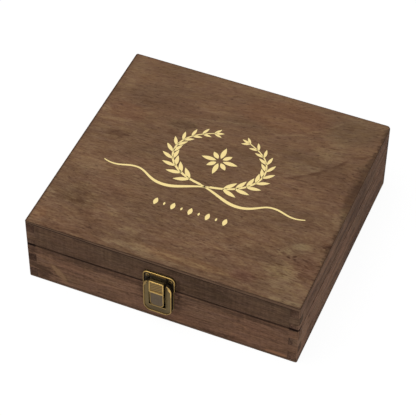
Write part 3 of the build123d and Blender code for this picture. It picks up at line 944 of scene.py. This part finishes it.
def cut_window(bm, face, low, high):
    """Cuts the rectangle between two corners (across, up) out of a face and returns it."""
    parts = [face]
    cuts = [((1, 0, 0), low[0]), ((1, 0, 0), high[0]), ((0, 0, 1), low[1]), ((0, 0, 1), high[1])]
    for axis, place in cuts:
        parts = only(cut_level(bm, parts, place, axis)["geom"], bmesh.types.BMFace)
    across, up = (low[0] + high[0]) / 2, (low[1] + high[1]) / 2

    def miss(part):
        middle = part.calc_center_median()
        return math.hypot(middle.x - across, middle.z - up)

    return min(parts, key=miss)


def rod(bm, middle, radius, half, bevel):
    """Round bar across the box, its ends eased."""
    turn = Matrix.Translation(middle) @ Matrix.Rotation(math.pi / 2, 4, "Y")
    bmesh.ops.create_cone(
        bm, cap_ends=True, segments=32, radius1=radius, radius2=radius, depth=2 * half, matrix=turn
    )
    rims = [edge for edge in bm.edges if abs(edge.verts[0].co.x - edge.verts[1].co.x) < LEVEL]
    soften(bm, rims, bevel)


def placed(name, bm, materials):
    """Turns a bmesh into an object of the scene."""
    mesh = bpy.data.meshes.new(name)
    bm.to_mesh(mesh)
    bm.free()
    for material in materials:
        mesh.materials.append(material)
    piece = bpy.data.objects.new(name, mesh)
    bpy.context.scene.collection.objects.link(piece)
    return piece


def finish_piece(name, bm, body, materials, stands_for):
    """Turns a bmesh into a piece that rides a body in place of nodes, smooth except at its creases."""
    bmesh.ops.recalc_face_normals(bm, faces=bm.faces)
    piece = placed(name, bm, materials)
    piece.data.polygons.foreach_set("use_smooth", [True] * len(piece.data.polygons))
    piece.data.set_sharp_from_angle(angle=SHARP)
    piece.modifiers.new("flat_faces", "WEIGHTED_NORMAL").keep_sharp = True
    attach(piece, body)
    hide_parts(*stands_for)
    return piece


# ---- the case ----
class KEEPSAKE_OT_panels(bpy.types.Operator):
    """Finishes the plywood top and bottom"""

    bl_idname = "keepsake.panels"
    bl_label = "Panels"

    def execute(self, context):
        looks = context.scene.keepsake_wood
        top, base = stains(looks, "top"), stains(looks, "board")
        dress("lid_panel", panel_finish("lid_veneer", looks, top, PANEL_FOOT / MM, LID_TOP_MARKS))
        dress("base_panel", panel_finish("base_veneer", looks, base, 0.0, {}, 90.0))
        return {"FINISHED"}


class KEEPSAKE_OT_sides(bpy.types.Operator):
    """Finishes the finger-jointed sides of the lid and the base"""

    bl_idname = "keepsake.sides"
    bl_label = "Sides"

    def execute(self, context):
        looks = context.scene.keepsake_wood
        rail, board = stains(looks, "rail"), stains(looks, "board")
        side_board = [cooler(tone) for tone in board]
        side_rail = [between(first, second, 0.7) for first, second in zip(rail, side_board)]
        for number, side in enumerate(("front", "back", "left", "right")):
            if side in ("front", "back"):
                rows = (("lid", rail, 1.0, 0.6), ("base", board, 1.05, 0.3))
            else:
                rows = (("lid", side_rail, 1.45, 0.5), ("base", side_board, 2.0, 0.25))
            for half, tones, contrast, saw_marks in rows:
                marks = SIDE_MARKS.get((half, side), {})
                shift = 40.0 * number + (17.0 if half == "base" else 0.0)
                finish = board_finish(
                    f"{half}_{side}_wood", looks, side, tones, marks, contrast, saw_marks, shift
                )
                dress(f"{half}_{side}_{'rail' if half == 'lid' else 'board'}", finish)
        return {"FINISHED"}


# ---- the latch ----
class KEEPSAKE_OT_lid_plate(bpy.types.Operator):
    """Builds the latch's plate on the lid, with its raised rim and the keeper"""

    bl_idname = "keepsake.lid_plate"
    bl_label = "Lid plate and keeper"

    corner: length("Corner", "Radius of the plate's upper corners", 4.2)
    spare: length("Spare", "Length below the plate's foot that is cut off again", 3)
    keeper_width: length("Keeper width", "Width of the raised keeper", 14.2)
    keeper_foot: length("Keeper foot", "Height of the keeper's foot above the plate's", 1.85)
    keeper_edge: length("Keeper edge", "Radius of the keeper's front edges", 0.45)
    window_width: length("Window width", "Width of the keeper's window", 8.6)
    window_foot: length("Window foot", "Keeper's foot to its window", 2.6)
    window_height: length("Window height", "Height of the keeper's window", 3.4)

    def execute(self, context):
        sizes = context.scene.keepsake_latch
        low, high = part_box("latch_lid_plate")
        bm = bmesh.new()
        plate = front_face(bm, mirrored([(high.x, low.z - self.spare), (high.x, high.z)]), 0)
        plate = rounded(bm, plate, [vert for vert in bm.verts if vert.co.z > low.z], self.corner, 8)
        rim = extrude(bm, plate, outwards(sizes.sheet + sizes.rim_rise), WORN)
        extrude(bm, inset(bm, rim, sizes.rim), outwards(-sizes.rim_rise), RECESS)
        soften(bm, creases(bm, sizes.sheet + sizes.rim_rise), sizes.rim_edge)
        cut = cut_level(bm, bm.faces[:], low.z, (0, 0, 1), clear_inner=True)["geom_cut"]
        bmesh.ops.holes_fill(bm, edges=only(cut, bmesh.types.BMEdge))

        proud = FRONT - low.y
        half, foot = self.keeper_width / 2, low.z + self.keeper_foot
        buried = sizes.sheet / 2
        keeper = front_face(bm, mirrored([(half, foot), (half, high.z - sizes.rim)]), buried)
        cap = extrude(bm, keeper, outwards(proud - buried), RECESS)
        wide, sill = self.window_width / 2, foot + self.window_foot
        window = cut_window(bm, cap, (-wide, sill), (wide, sill + self.window_height))
        extrude(bm, window, outwards(sizes.sheet - proud), RECESS)
        soften(bm, creases(bm, proud), self.keeper_edge, RECESS)
        finish_piece("latch_plate_on_lid", bm, "lid", shared_brass(context), ["latch_lid_plate"])
        return {"FINISHED"}


class KEEPSAKE_OT_shield(bpy.types.Operator):
    """Builds the pressed shield round the lever, with a bead along its edges"""

    bl_idname = "keepsake.shield"
    bl_label = "Shield"

    corner: length("Foot corner", "Cut across each lower corner", 4.2)
    shoulder: length("Shoulder", "Width of the sloping shoulder", 2.5)
    shoulder_drop: length("Shoulder drop", "Height of the sloping shoulder", 5.0)
    shoulder_round: length("Shoulder rounding", "How far the outline's corners are rounded", 2.2)
    facet: length("Facet", "How much wider the bead is at the shoulder", 1.5)
    slot: length("Slot", "Half the width of the lever's slot", 7.75)
    slot_foot: length("Slot foot", "Foot of the shield to the foot of the slot", 8.3)
    slot_corner: length("Slot corner", "Radius of the slot's lower corners", 1.0)
    sheet: length("Sheet", "Thickness of the pressed sheet", 0.8)
    arm_clearance: length("Arm clearance", "Back of the arms to the lid plate's rim", 0.5)
    arm_bend: length("Arm bend", "Height over which the arms step forward", 0.05)

    def outline(self, low, high, slot_low):
        """Right-hand corners, from the foot over the shoulder to the foot of the slot."""
        return [
            (high.x - self.corner, low.z),
            (high.x, low.z + self.corner),
            (high.x, high.z - self.shoulder_drop),
            (high.x - self.shoulder, high.z),
            (self.slot, high.z),
            (self.slot, slot_low),
        ]

    def execute(self, context):
        sizes = context.scene.keepsake_latch
        low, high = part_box("latch_shield")
        slot_low = low.z + self.slot_foot
        back, front = FRONT - high.y, FRONT - low.y
        bm = bmesh.new()
        under = front_face(bm, mirrored(self.outline(low, high, slot_low)), back)
        outer = [vert for vert in bm.verts if abs(vert.co.x) > self.slot + LEVEL]
        under = rounded(bm, under, outer, self.shoulder_round, 6)
        slot_corners = [vert for vert in bm.verts if abs(vert.co.z - slot_low) < LEVEL]
        under = rounded(bm, under, slot_corners, self.slot_corner)
        under.material_index = RECESS
        flat = inset(bm, extrude(bm, under, outwards(front - back), WORN), sizes.bead)
        facet_foot = high.z - self.shoulder_drop - self.shoulder_round
        facet_head = high.z - sizes.bead
        for vert in flat.verts:
            rise = (vert.co.z - facet_foot) / (facet_head - facet_foot)
            if 0 < rise < 1:
                vert.co.x -= math.copysign(self.facet * math.sin(math.pi * rise), vert.co.x)
        extrude(bm, flat, outwards(-sizes.bead_rise), FLAT)
        soften(bm, creases(bm, front), sizes.softness)
        beside_slot = self.slot + 1.1 * sizes.bead
        for face in bm.faces:
            middle = face.calc_center_median()
            if face.material_index == WORN and abs(middle.x) < beside_slot and middle.z > slot_low:
                face.material_index = FLAT
        ceiling = front - sizes.bead_rise - self.sheet
        extrude(bm, inset(bm, under, sizes.bead), outwards(ceiling - back))

        arm_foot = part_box("latch_base_plate")[1].z
        arm_back = sizes.sheet + sizes.rim_rise + self.arm_clearance
        for level in (arm_foot - self.arm_bend, arm_foot):
            cut_level(bm, bm.faces[:], level, (0, 0, 1))
        for vert in bm.verts:
            if vert.co.z > arm_foot - LEVEL:
                vert.co.y = min(vert.co.y, FRONT - arm_back)
        looks = context.scene.keepsake_metal
        flats = brass_finish("brass_shield", looks.flat, looks.shade, 0.42, 0.2, SHIELD_FLATS)
        materials = [flats, *shared_brass(context)[1:]]
        finish_piece("latch_shield_pressed", bm, "base", materials, ["latch_shield"])
        return {"FINISHED"}


class KEEPSAKE_OT_base_plate(bpy.types.Operator):
    """Builds the plate behind the shield, with the ears that carry the lever's pin"""

    bl_idname = "keepsake.base_plate"
    bl_label = "Base plate"

    corner: length("Foot corner", "Cut across each lower corner", 4.2)
    corner_round: length("Corner rounding", "How far the plate's corners are rounded", 2.3)
    sheet: length("Sheet", "Thickness of the plate", 1.0)
    ear: length("Ear", "Thickness of an ear", 0.9)
    ear_half: length("Ear height", "Half the height of an ear", 1.9)
    ear_round: length("Ear rounding", "How far an ear's front corners are rounded", 1.2)
    pin_end: length("Pin end", "How far the pin stands out of an ear", 0.05)

    def execute(self, context):
        sizes = context.scene.keepsake_latch
        low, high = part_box("latch_base_plate")
        bm = bmesh.new()
        outline = [(high.x - self.corner, low.z), (high.x, low.z + self.corner), (high.x, high.z)]
        plate = front_face(bm, mirrored(outline), 0)
        lower = [vert for vert in bm.verts if vert.co.z < high.z - LEVEL]
        extrude(bm, rounded(bm, plate, lower, self.corner_round, 6), outwards(self.sheet), FLAT)
        soften(bm, creases(bm, self.sheet), sizes.softness, BEAD)
        root, reach = self.sheet / 2, FRONT - low.y
        foot, head = PIVOT.z - self.ear_half, PIVOT.z + self.ear_half
        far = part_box("latch_pin")[1].x - self.pin_end
        for x in (-far, far - self.ear):
            ear = side_face(bm, [(root, foot), (reach, foot), (reach, head), (root, head)], x)
            tips = [vert for vert in ear.verts if vert.co.y < FRONT - self.sheet]
            extrude(bm, rounded(bm, ear, tips, self.ear_round), Vector((self.ear, 0, 0)))
        finish_piece("latch_plate_on_base", bm, "base", shared_brass(context), ["latch_base_plate"])
        return {"FINISHED"}


class KEEPSAKE_OT_lever(bpy.types.Operator):
    """Builds the press lever: framed thumb panel, pad, lugs and tooth"""

    bl_idname = "keepsake.lever"
    bl_label = "Press lever"

    pad_inset: length("Pad inset", "How much narrower the pad is on each side", 0.45)
    pad_corner: length("Pad corner", "Radius of the pad's lower corners", 4.4)
    pad_rim: length("Pad rim", "Width of the pad's bright edge", 0.7)
    pad_dish: length("Pad dish", "Depth of the pad inside its bright edge", 0.15)
    step: length("Step", "Head proud of the pad", 0.7)
    slope: length("Slope", "Pad's fall towards its foot", 0.4)
    sheet: length("Thickness", "Thickness of the head", 2.6)
    head_corner: length("Head corner", "Radius of the head's upper corners", 0.7)
    panel_depth: length("Panel depth", "Depth of the thumb panel in its frame", 0.4)
    ridge: length("Ridge", "Seam to the lower edge of the head", 1.45)
    lug: length("Lug", "Thickness of a lug", 1.3)
    lug_radius: length("Lug radius", "Radius of a lug round the pin", 1.55)
    tooth: length("Tooth", "Half the width of the tooth", 3.5)
    tooth_foot: length("Tooth foot", "Seam to the tooth", 5.9)
    tooth_height: length("Tooth height", "Height of the tooth", 1.8)
    tooth_gap: length("Tooth gap", "Tip of the tooth to the back of its plain solid", 0.5)
    tooth_edge: length("Tooth edge", "Radius of the tooth's tip", 0.3)

    def head_and_pad(self, bm, sizes, low, high, front):
        """The front of the lever, its framed head proud of the sloping pad."""
        ridge = SEAM - self.ridge
        ledge = ridge - self.step
        half, narrow = high.x, high.x - self.pad_inset
        outline = [(narrow, low.z), (narrow, ledge), (half, ledge), (half, high.z)]
        blank = front_face(bm, mirrored(outline), front - self.sheet)
        feet = [vert for vert in bm.verts if vert.co.z < low.z + LEVEL]
        blank = rounded(bm, blank, feet, self.pad_corner, 8)
        heads = [vert for vert in bm.verts if vert.co.z > high.z - LEVEL]
        blank = rounded(bm, blank, heads, self.head_corner)
        cap = extrude(bm, blank, outwards(self.sheet - self.step))
        halves = only(cut_level(bm, [cap], ledge, (0, 0, 1))["geom"], bmesh.types.BMFace)
        pad, head = sorted(halves, key=lambda face: face.calc_center_median().z)
        top = extrude(bm, head, outwards(self.step), WORN)
        for vert in top.verts:
            vert.co.z = max(vert.co.z, ridge)
        for vert in pad.verts:
            vert.co.y += self.slope * (ledge - vert.co.z) / (ledge - low.z)
        extrude(bm, inset(bm, top, sizes.frame), outwards(-self.panel_depth), THUMB)
        soften(bm, creases(bm, front), sizes.softness)
        pad.material_index = WORN
        extrude(bm, inset(bm, pad, self.pad_rim), outwards(-self.pad_dish), PAD)

    def execute(self, context):
        low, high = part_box("latch_lever")
        front = FRONT - low.y
        bm = bmesh.new()
        self.head_and_pad(bm, context.scene.keepsake_latch, low, high, front)
        back = front - self.sheet
        buried = back + self.slope
        behind = FRONT - PIVOT.y - self.lug_radius
        foot, head = PIVOT.z - self.lug_radius, PIVOT.z + self.lug_radius
        for x in (-high.x, high.x - self.lug):
            lug = side_face(bm, [(buried, foot), (buried, head), (behind, head), (behind, foot)], x)
            ends = [vert for vert in lug.verts if FRONT - vert.co.y < back]
            # a full radius would meet itself in the middle
            extrude(bm, rounded(bm, lug, ends, self.lug_radius * 0.98, 8), Vector((self.lug, 0, 0)))
        root = SEAM + self.tooth_foot
        tooth = mirrored([(self.tooth, root), (self.tooth, root + self.tooth_height)])
        reach = FRONT - high.y - self.tooth_gap
        tip = extrude(bm, front_face(bm, tooth, buried), outwards(reach - buried))
        soften(bm, list(tip.edges), self.tooth_edge, FLAT)
        materials = [*shared_brass(context), thumb_panel_finish(context.scene.keepsake_metal)]
        finish_piece("latch_press_lever", bm, "latch_lever", materials, ["latch_lever"])
        return {"FINISHED"}


def thumb_panel_finish(looks):
    """The rubbed panel in the lever's head, with fine slanting ribs."""
    finish = Finish("brass_thumb_panel")
    place = finish.place()
    slanting = finish.vector("MULTIPLY", place, (-1, 1, 1))
    inputs = {"Vector": slanting, "Scale": 0.18, "Distortion": 0.8, "Detail": 2.0, "Detail Scale": 1.5}
    ribs = finish.add("TexWave", inputs, bands_direction="DIAGONAL").outputs[1]
    grit = finish.noise(place, (1, 1, 1), 1.8, 3.0, 0.6)
    factor = finish.maths("MULTIPLY_ADD", ribs, 0.4, finish.maths("MULTIPLY_ADD", grit, 0.5, 0.05))
    finish.relief(factor, 0.08 * MM, 0.6)
    body = finish.mix(factor, looks.shade, looks.knurl)
    return finish.surface(Base_Color=body, Metallic=1.0, Roughness=0.42)


class KEEPSAKE_OT_latch_small(bpy.types.Operator):
    """Builds the lever's pin and the leaf spring, and finishes the latch's screws"""

    bl_idname = "keepsake.latch_small"
    bl_label = "Pin, spring and screws"

    pin_edge: length("Pin edge", "How far the pin's ends are eased", 0.2)
    spring_sheet: length("Spring", "Thickness of the leaf spring", 0.4)
    spring_foot: length("Spring foot", "Length of spring that lies on the plate", 4.5)
    spring_knee: length("Spring knee", "How far the bend of the spring is rounded", 1.5)

    def execute(self, context):
        looks = context.scene.keepsake_metal
        low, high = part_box("latch_pin")
        bm = bmesh.new()
        rod(bm, PIVOT, (high.z - low.z) / 2, high.x, self.pin_edge)
        finish_piece("latch_pivot_pin", bm, "base", shared_brass(context), ["latch_pin"])

        low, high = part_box("latch_spring")
        sheet = self.spring_sheet
        near_wood, far_out = high.y - sheet / 2, low.y + sheet / 2
        line = [(near_wood, low.z), (near_wood, low.z + self.spring_foot), (far_out, high.z)]
        bm = bmesh.new()
        chain = [bm.verts.new((low.x, y, z)) for y, z in line]
        edges = [bm.edges.new(pair) for pair in zip(chain, chain[1:])]
        made = bmesh.ops.extrude_edge_only(bm, edges=edges)["geom"]
        bmesh.ops.translate(bm, vec=(high.x - low.x, 0, 0), verts=only(made, bmesh.types.BMVert))
        knee = [edge for edge in bm.edges if len(edge.link_faces) == 2]
        soften(bm, knee, self.spring_knee, FLAT, 6)
        bmesh.ops.recalc_face_normals(bm, faces=bm.faces)
        bmesh.ops.solidify(bm, geom=bm.faces[:], thickness=sheet)
        steel = brass_finish("spring_steel", looks.steel, looks.recess, 0.35)
        spring = finish_piece("latch_leaf_spring", bm, "base", [steel], ["latch_spring"])
        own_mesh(spring)
        dress("latch_lid_screws", screw_finish("brass_latch_screws", looks, "latch_lid_screws"))
        screws = screw_finish("brass_screws", looks)
        for node in ("latch_base_screws", "hinge_lid_screws", "hinge_base_screws"):
            dress(node, screws)
        return {"FINISHED"}


def screw_finish(name, looks, node=None):
    """Brass screws: dull heads, dark shanks and, for a node with one pair of screws, dark sockets."""
    finish = Finish(name)
    place = finish.place()
    x, y, z = finish.axes(place)
    out = finish.maths("SUBTRACT", finish.maths("ABSOLUTE", y), -FRONT / MM)
    head = finish.soft(out, 0.95, 1.3)
    clouds = finish.noise(place, (1, 1, 1), 1.1, 3.0, 0.6)
    shown = finish.maths("MULTIPLY", head, finish.maths("MULTIPLY_ADD", clouds, 0.5, 0.6))
    if node:
        low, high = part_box(node)
        radius = (high.z - low.z) / 2
        aside = finish.maths("SUBTRACT", finish.maths("ABSOLUTE", x), (high.x - radius) / MM)
        above = finish.maths("SUBTRACT", z, (high.z - radius) / MM)
        reach = finish.vector("LENGTH", finish.add("CombineXYZ", {0: aside, 1: 0.0, 2: above}).outputs[0])
        socket = finish.soft(reach, radius / MM * 0.62, radius / MM * 0.42)
        shown = finish.maths("MULTIPLY", shown, finish.maths("MULTIPLY_ADD", socket, -0.85, 1.0))
    body = finish.mix(shown, looks.recess, between(looks.edge, looks.worn, 0.15))
    return finish.surface(Base_Color=body, Metallic=1.0, Roughness=0.45)


class KEEPSAKE_OT_hinges(bpy.types.Operator):
    """Finishes the butt hinges on the back"""

    bl_idname = "keepsake.hinges"
    bl_label = "Hinges"

    def execute(self, context):
        brass = shared_brass(context)
        for side in ("left", "right"):
            dress(f"hinge_{side}_base_leaf", brass[FLAT])
            dress(f"hinge_{side}_lid_leaf", brass[FLAT])
            dress(f"hinge_{side}_pin", brass[BEAD])
        return {"FINISHED"}


# ---- the gold print ----
def brush_stroke(points, widths, extra, height):
    """Mesh of a flat stroke of changing width along a smooth line across the lid."""
    data = bpy.data.curves.new("stroke", "CURVE")
    data.dimensions = "3D"
    data.twist_mode = "Z_UP"
    data.extrude = 0.5
    spline = data.splines.new("NURBS")
    spline.points.add(len(points) - 1)
    for knot, (x, y), width in zip(spline.points, points, widths):
        knot.co = (x, y, height, 1)
        knot.radius = width + 2 * extra
        knot.tilt = math.pi / 2
    spline.order_u = 4 if len(points) > 3 else 3
    spline.use_endpoint_u = True
    spline.resolution_u = 8
    drawn = bpy.data.objects.new("stroke", data)
    mesh = bpy.data.meshes.new_from_object(drawn)
    bpy.data.objects.remove(drawn)
    bpy.data.curves.remove(data)
    return mesh


def flipped(stroke):
    """The same stroke on the left-hand side."""
    points, widths = stroke
    return [(-x, y) for x, y in points], widths


def leaf_stroke(root, angle, reach, width):
    """A pointed leaf from its root."""
    way = Vector((math.cos(angle), math.sin(angle)))
    points = [Vector(root) + way * reach * part for part in (0, 0.3, 0.6, 1)]
    return [tuple(point) for point in points], [0.0, 1.25 * width, 1.25 * width, 0.0]


class KEEPSAKE_OT_print(bpy.types.Operator):
    """Prints a leafy wreath with trailing stems and a row of studs on the lid in gold"""

    bl_idname = "keepsake.print"
    bl_label = "Gold print"

    centre: length("Centre", "Centre of the wreath behind the middle of the lid", 15)
    wide: length("Half width", "Middle of the lid to the wreath's stem, sideways", 43)
    tall: length("Half height", "Middle of the wreath to its stem, lengthways", 33)
    leaf: length("Leaf", "Length of the longest leaf", 15.5)
    leaf_width: length("Leaf width", "Width of the widest leaf", 4.6)
    stem: length("Stem", "Width of the stems", 2.4)
    eye: length("Eye", "Middle of the blossom to the roots of its petals", 3.0)
    petal: length("Petal", "Length of every other petal", 14)
    small_petal: length("Small petal", "Length of the petals between", 9.5)
    stud_row: length("Studs", "Row of studs in front of the middle of the lid", 51)
    stud_pitch: length("Stud pitch", "Distance from stud to stud", 8)
    stud: length("Stud", "Half the height of every other stud", 4.2)
    small_stud: length("Small stud", "Half the height of the studs between", 1.9)

    def ring(self, angle):
        """Point of the wreath's stem at an angle."""
        return Vector((self.wide * math.cos(angle), self.centre + self.tall * math.sin(angle)))

    def branch(self):
        """Strokes of the right-hand branch, from the crossing at the foot to the tip."""
        start, end, pairs = WREATH_FOOT, WREATH_TIP, 10
        angles = [start + (end - start) * step / pairs for step in range(pairs + 1)]
        stem = [tuple(self.ring(angle)) for angle in angles]
        strokes = [(stem, [self.stem * (1 - 0.6 * step / pairs) for step in range(pairs + 1)])]
        for step, angle in enumerate(angles[1:], 1):
            ahead = self.ring(angle + 0.01) - self.ring(angle)
            way = math.atan2(ahead.y, ahead.x)
            size = 1 - 0.45 * step / pairs
            for lean in (-LEAF_LEAN, LEAF_LEAN):
                strokes.append(self.spray(angle, way + lean, size))
        strokes.append(self.spray(end, way, 0.6))
        return strokes

    def spray(self, angle, way, size):
        """A leaf of the wreath, as a share of the longest."""
        return leaf_stroke(self.ring(angle), way, self.leaf * size, self.leaf_width * size)

    def trail(self):
        """Stroke of the stem that runs on from the crossing to the right."""
        foot = self.ring(WREATH_FOOT)
        points = [(-foot.x, foot.y), *((x * MM, foot.y + rise * MM) for x, rise, _ in TRAIL)]
        return points, [1.4 * MM, *(width * MM for _, _, width in TRAIL)]

    def blossom(self):
        """Petals round the centre of the wreath."""
        petals = 8
        strokes = []
        for step in range(petals):
            angle = math.tau * step / petals
            root = (self.eye * math.cos(angle), self.centre + self.eye * math.sin(angle))
            reach = self.small_petal if step % 2 else self.petal
            strokes.append(leaf_stroke(root, angle, reach, self.leaf_width))
        return strokes

    def studs(self):
        """Diamonds in a row below the wreath, small and large in turn."""
        strokes = []
        for step in range(-4, 5):
            half = self.small_stud if step % 2 else self.stud
            x, y = step * self.stud_pitch, -self.stud_row
            points = [(x, y - half), (x, y), (x, y + half)]
            strokes.append((points, [0.0, 1.9 * half, 0.0]))
        return strokes

    def execute(self, context):
        looks = context.scene.keepsake_print
        right = [*self.branch(), self.trail()]
        strokes = [*right, *map(flipped, right), *self.blossom(), *self.studs()]
        gold = print_finish("gold_leaf_print", looks.gold, 0.42)
        scorch = print_finish("scorched_wood", looks.scorch, 0.8)
        layers = [
            ("scorch_round_print", scorch, looks.halo, 0.3, "lid_veneer"),
            ("gold_print_on_lid", gold, 0.0, 1.0, "gold_print"),
        ]
        for name, material, extra, level, slot in layers:
            bm = bmesh.new()
            for points, widths in strokes:
                mesh = brush_stroke(points, widths, extra, TOP + looks.thickness * level)
                bm.from_mesh(mesh)
                bpy.data.meshes.remove(mesh)
            bmesh.ops.remove_doubles(bm, verts=bm.verts, dist=0.002 * MM)
            finish_print(name, bm, material)
        return {"FINISHED"}


def finish_print(name, bm, material):
    """Turns flat strokes to face up and makes them a piece on the lid."""
    bmesh.ops.recalc_face_normals(bm, faces=bm.faces)
    bmesh.ops.reverse_faces(bm, faces=[face for face in bm.faces if face.normal.z < 0])
    piece = placed(name, bm, [material])
    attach(piece, "lid")


def print_finish(name, tint, roughness):
    """A printed colour, thinner along worn streaks of the grain."""
    finish = Finish(name)
    place = finish.place()
    wear = finish.noise(place, (0.2, 1, 1), 0.9, 4.0, 0.65)
    shade = finish.maths("MULTIPLY_ADD", finish.soft(wear, 0.2, 0.45), 0.12, 0.88)
    return finish.surface(Base_Color=finish.vector("SCALE", tint, Scale=shade), Roughness=roughness)


# ---- the stage ----
class KEEPSAKE_OT_stage(bpy.types.Operator):
    """Sets the pale floor, the soft lamps and the camera"""

    bl_idname = "keepsake.stage"
    bl_label = "Stage"

    def execute(self, context):
        looks = context.scene.keepsake_studio
        make_floor()
        make_world(context.scene, looks.ambient)
        make_lamp("key_lamp", (-0.5, -0.35, 1.7), 1.4, looks.key)
        make_lamp("fill_lamp", (0.9, -1.5, 0.8), 1.0, looks.fill)
        make_camera(context.scene, looks)
        context.scene.view_settings.view_transform = "Standard"
        return {"FINISHED"}


def make_floor():
    """A wide pale floor that shows as white paper and keeps the shadow."""
    just_below = Matrix.Translation((0, 0, -0.2 * MM))
    bm = bmesh.new()
    bmesh.ops.create_grid(bm, x_segments=8, y_segments=8, size=6, matrix=just_below)
    material = bpy.data.materials.new("white_floor")
    floor = Nodes(material)
    floor.tree.nodes.remove(floor.tree.nodes["Principled BSDF"])
    paper = floor.add("BsdfDiffuse", {"Color": (0.8, 0.8, 0.8)})
    white = floor.add("Emission", {"Strength": 1.05})
    floor.show_white(0.9, paper, white, floor.tree.nodes["Material Output"].inputs["Surface"])
    placed("floor", bm, [material])


def make_world(scene, ambient):
    """Even light round the box, seen as white."""
    scene.world = bpy.data.worlds.new("studio")
    sky = Nodes(scene.world)
    soft = sky.tree.nodes["Background"]
    sky.feed(soft.inputs["Color"], (1, 1, 1))
    sky.feed(soft.inputs["Strength"], ambient)
    white = sky.add("Background", {"Color": (1, 1, 1)})
    sky.show_white(1.0, soft, white, sky.tree.nodes["World Output"].inputs["Surface"])


def make_lamp(name, place, size, power):
    """A round soft lamp that shines at the box."""
    data = bpy.data.lights.new(name, "AREA")
    data.shape = "DISK"
    data.size = size
    data.energy = power
    lamp = bpy.data.objects.new(name, data)
    lamp.location = place
    lamp.rotation_mode = "QUATERNION"
    lamp.rotation_quaternion = (-Vector(place)).to_track_quat("-Z", "Y")
    bpy.context.scene.collection.objects.link(lamp)


def make_camera(scene, looks):
    """The camera, turned about its aim."""
    data = bpy.data.cameras.new("camera")
    data.lens = looks.lens
    data.sensor_width = 36
    camera = bpy.data.objects.new("camera", data)
    level = math.cos(looks.elevation)
    back = Vector((
        math.sin(looks.azimuth) * level, -math.cos(looks.azimuth) * level, math.sin(looks.elevation)
    ))
    turn = (-back).to_track_quat("-Z", "Y").to_matrix() @ Matrix.Rotation(looks.roll, 3, "Z")
    camera.matrix_world = Matrix.Translation(Vector(looks.aim) + back * looks.distance) @ turn.to_4x4()
    data.clip_start, data.clip_end = 0.01, 100
    scene.collection.objects.link(camera)
    scene.camera = camera


# ---- add-on ----
PIECES = [
    KEEPSAKE_OT_panels,
    KEEPSAKE_OT_sides,
    KEEPSAKE_OT_lid_plate,
    KEEPSAKE_OT_shield,
    KEEPSAKE_OT_base_plate,
    KEEPSAKE_OT_lever,
    KEEPSAKE_OT_latch_small,
    KEEPSAKE_OT_hinges,
    KEEPSAKE_OT_print,
    KEEPSAKE_OT_stage,
]


class KEEPSAKE_PT_sidebar(bpy.types.Panel):
    """Lists the pieces and their sizes and colours"""

    bl_idname = "KEEPSAKE_PT_sidebar"
    bl_label = "Keepsake Box"
    bl_space_type = "VIEW_3D"
    bl_region_type = "UI"
    bl_category = "Keepsake Box"

    def draw(self, context):
        for name, group in GROUPS.items():
            box = self.layout.box()
            box.label(text=group.__doc__)
            for key in group.__annotations__:
                box.prop(getattr(context.scene, name), key)
        for piece in PIECES:
            self.layout.operator(piece.bl_idname)


def register():
    for group in GROUPS.values():
        bpy.utils.register_class(group)
    for piece in PIECES:
        bpy.utils.register_class(piece)
    bpy.utils.register_class(KEEPSAKE_PT_sidebar)
    for name, group in GROUPS.items():
        setattr(bpy.types.Scene, name, bpy.props.PointerProperty(type=group))


def unregister():
    for name in GROUPS:
        delattr(bpy.types.Scene, name)
    bpy.utils.unregister_class(KEEPSAKE_PT_sidebar)
    for piece in reversed(PIECES):
        bpy.utils.unregister_class(piece)
    for group in reversed(list(GROUPS.values())):
        bpy.utils.unregister_class(group)


def main():
    """Builds every piece, then the stage."""
    register()
    for piece in PIECES:
        group, name = piece.bl_idname.split(".")
        getattr(getattr(bpy.ops, group), name)()


if __name__ == "__main__":
    main()
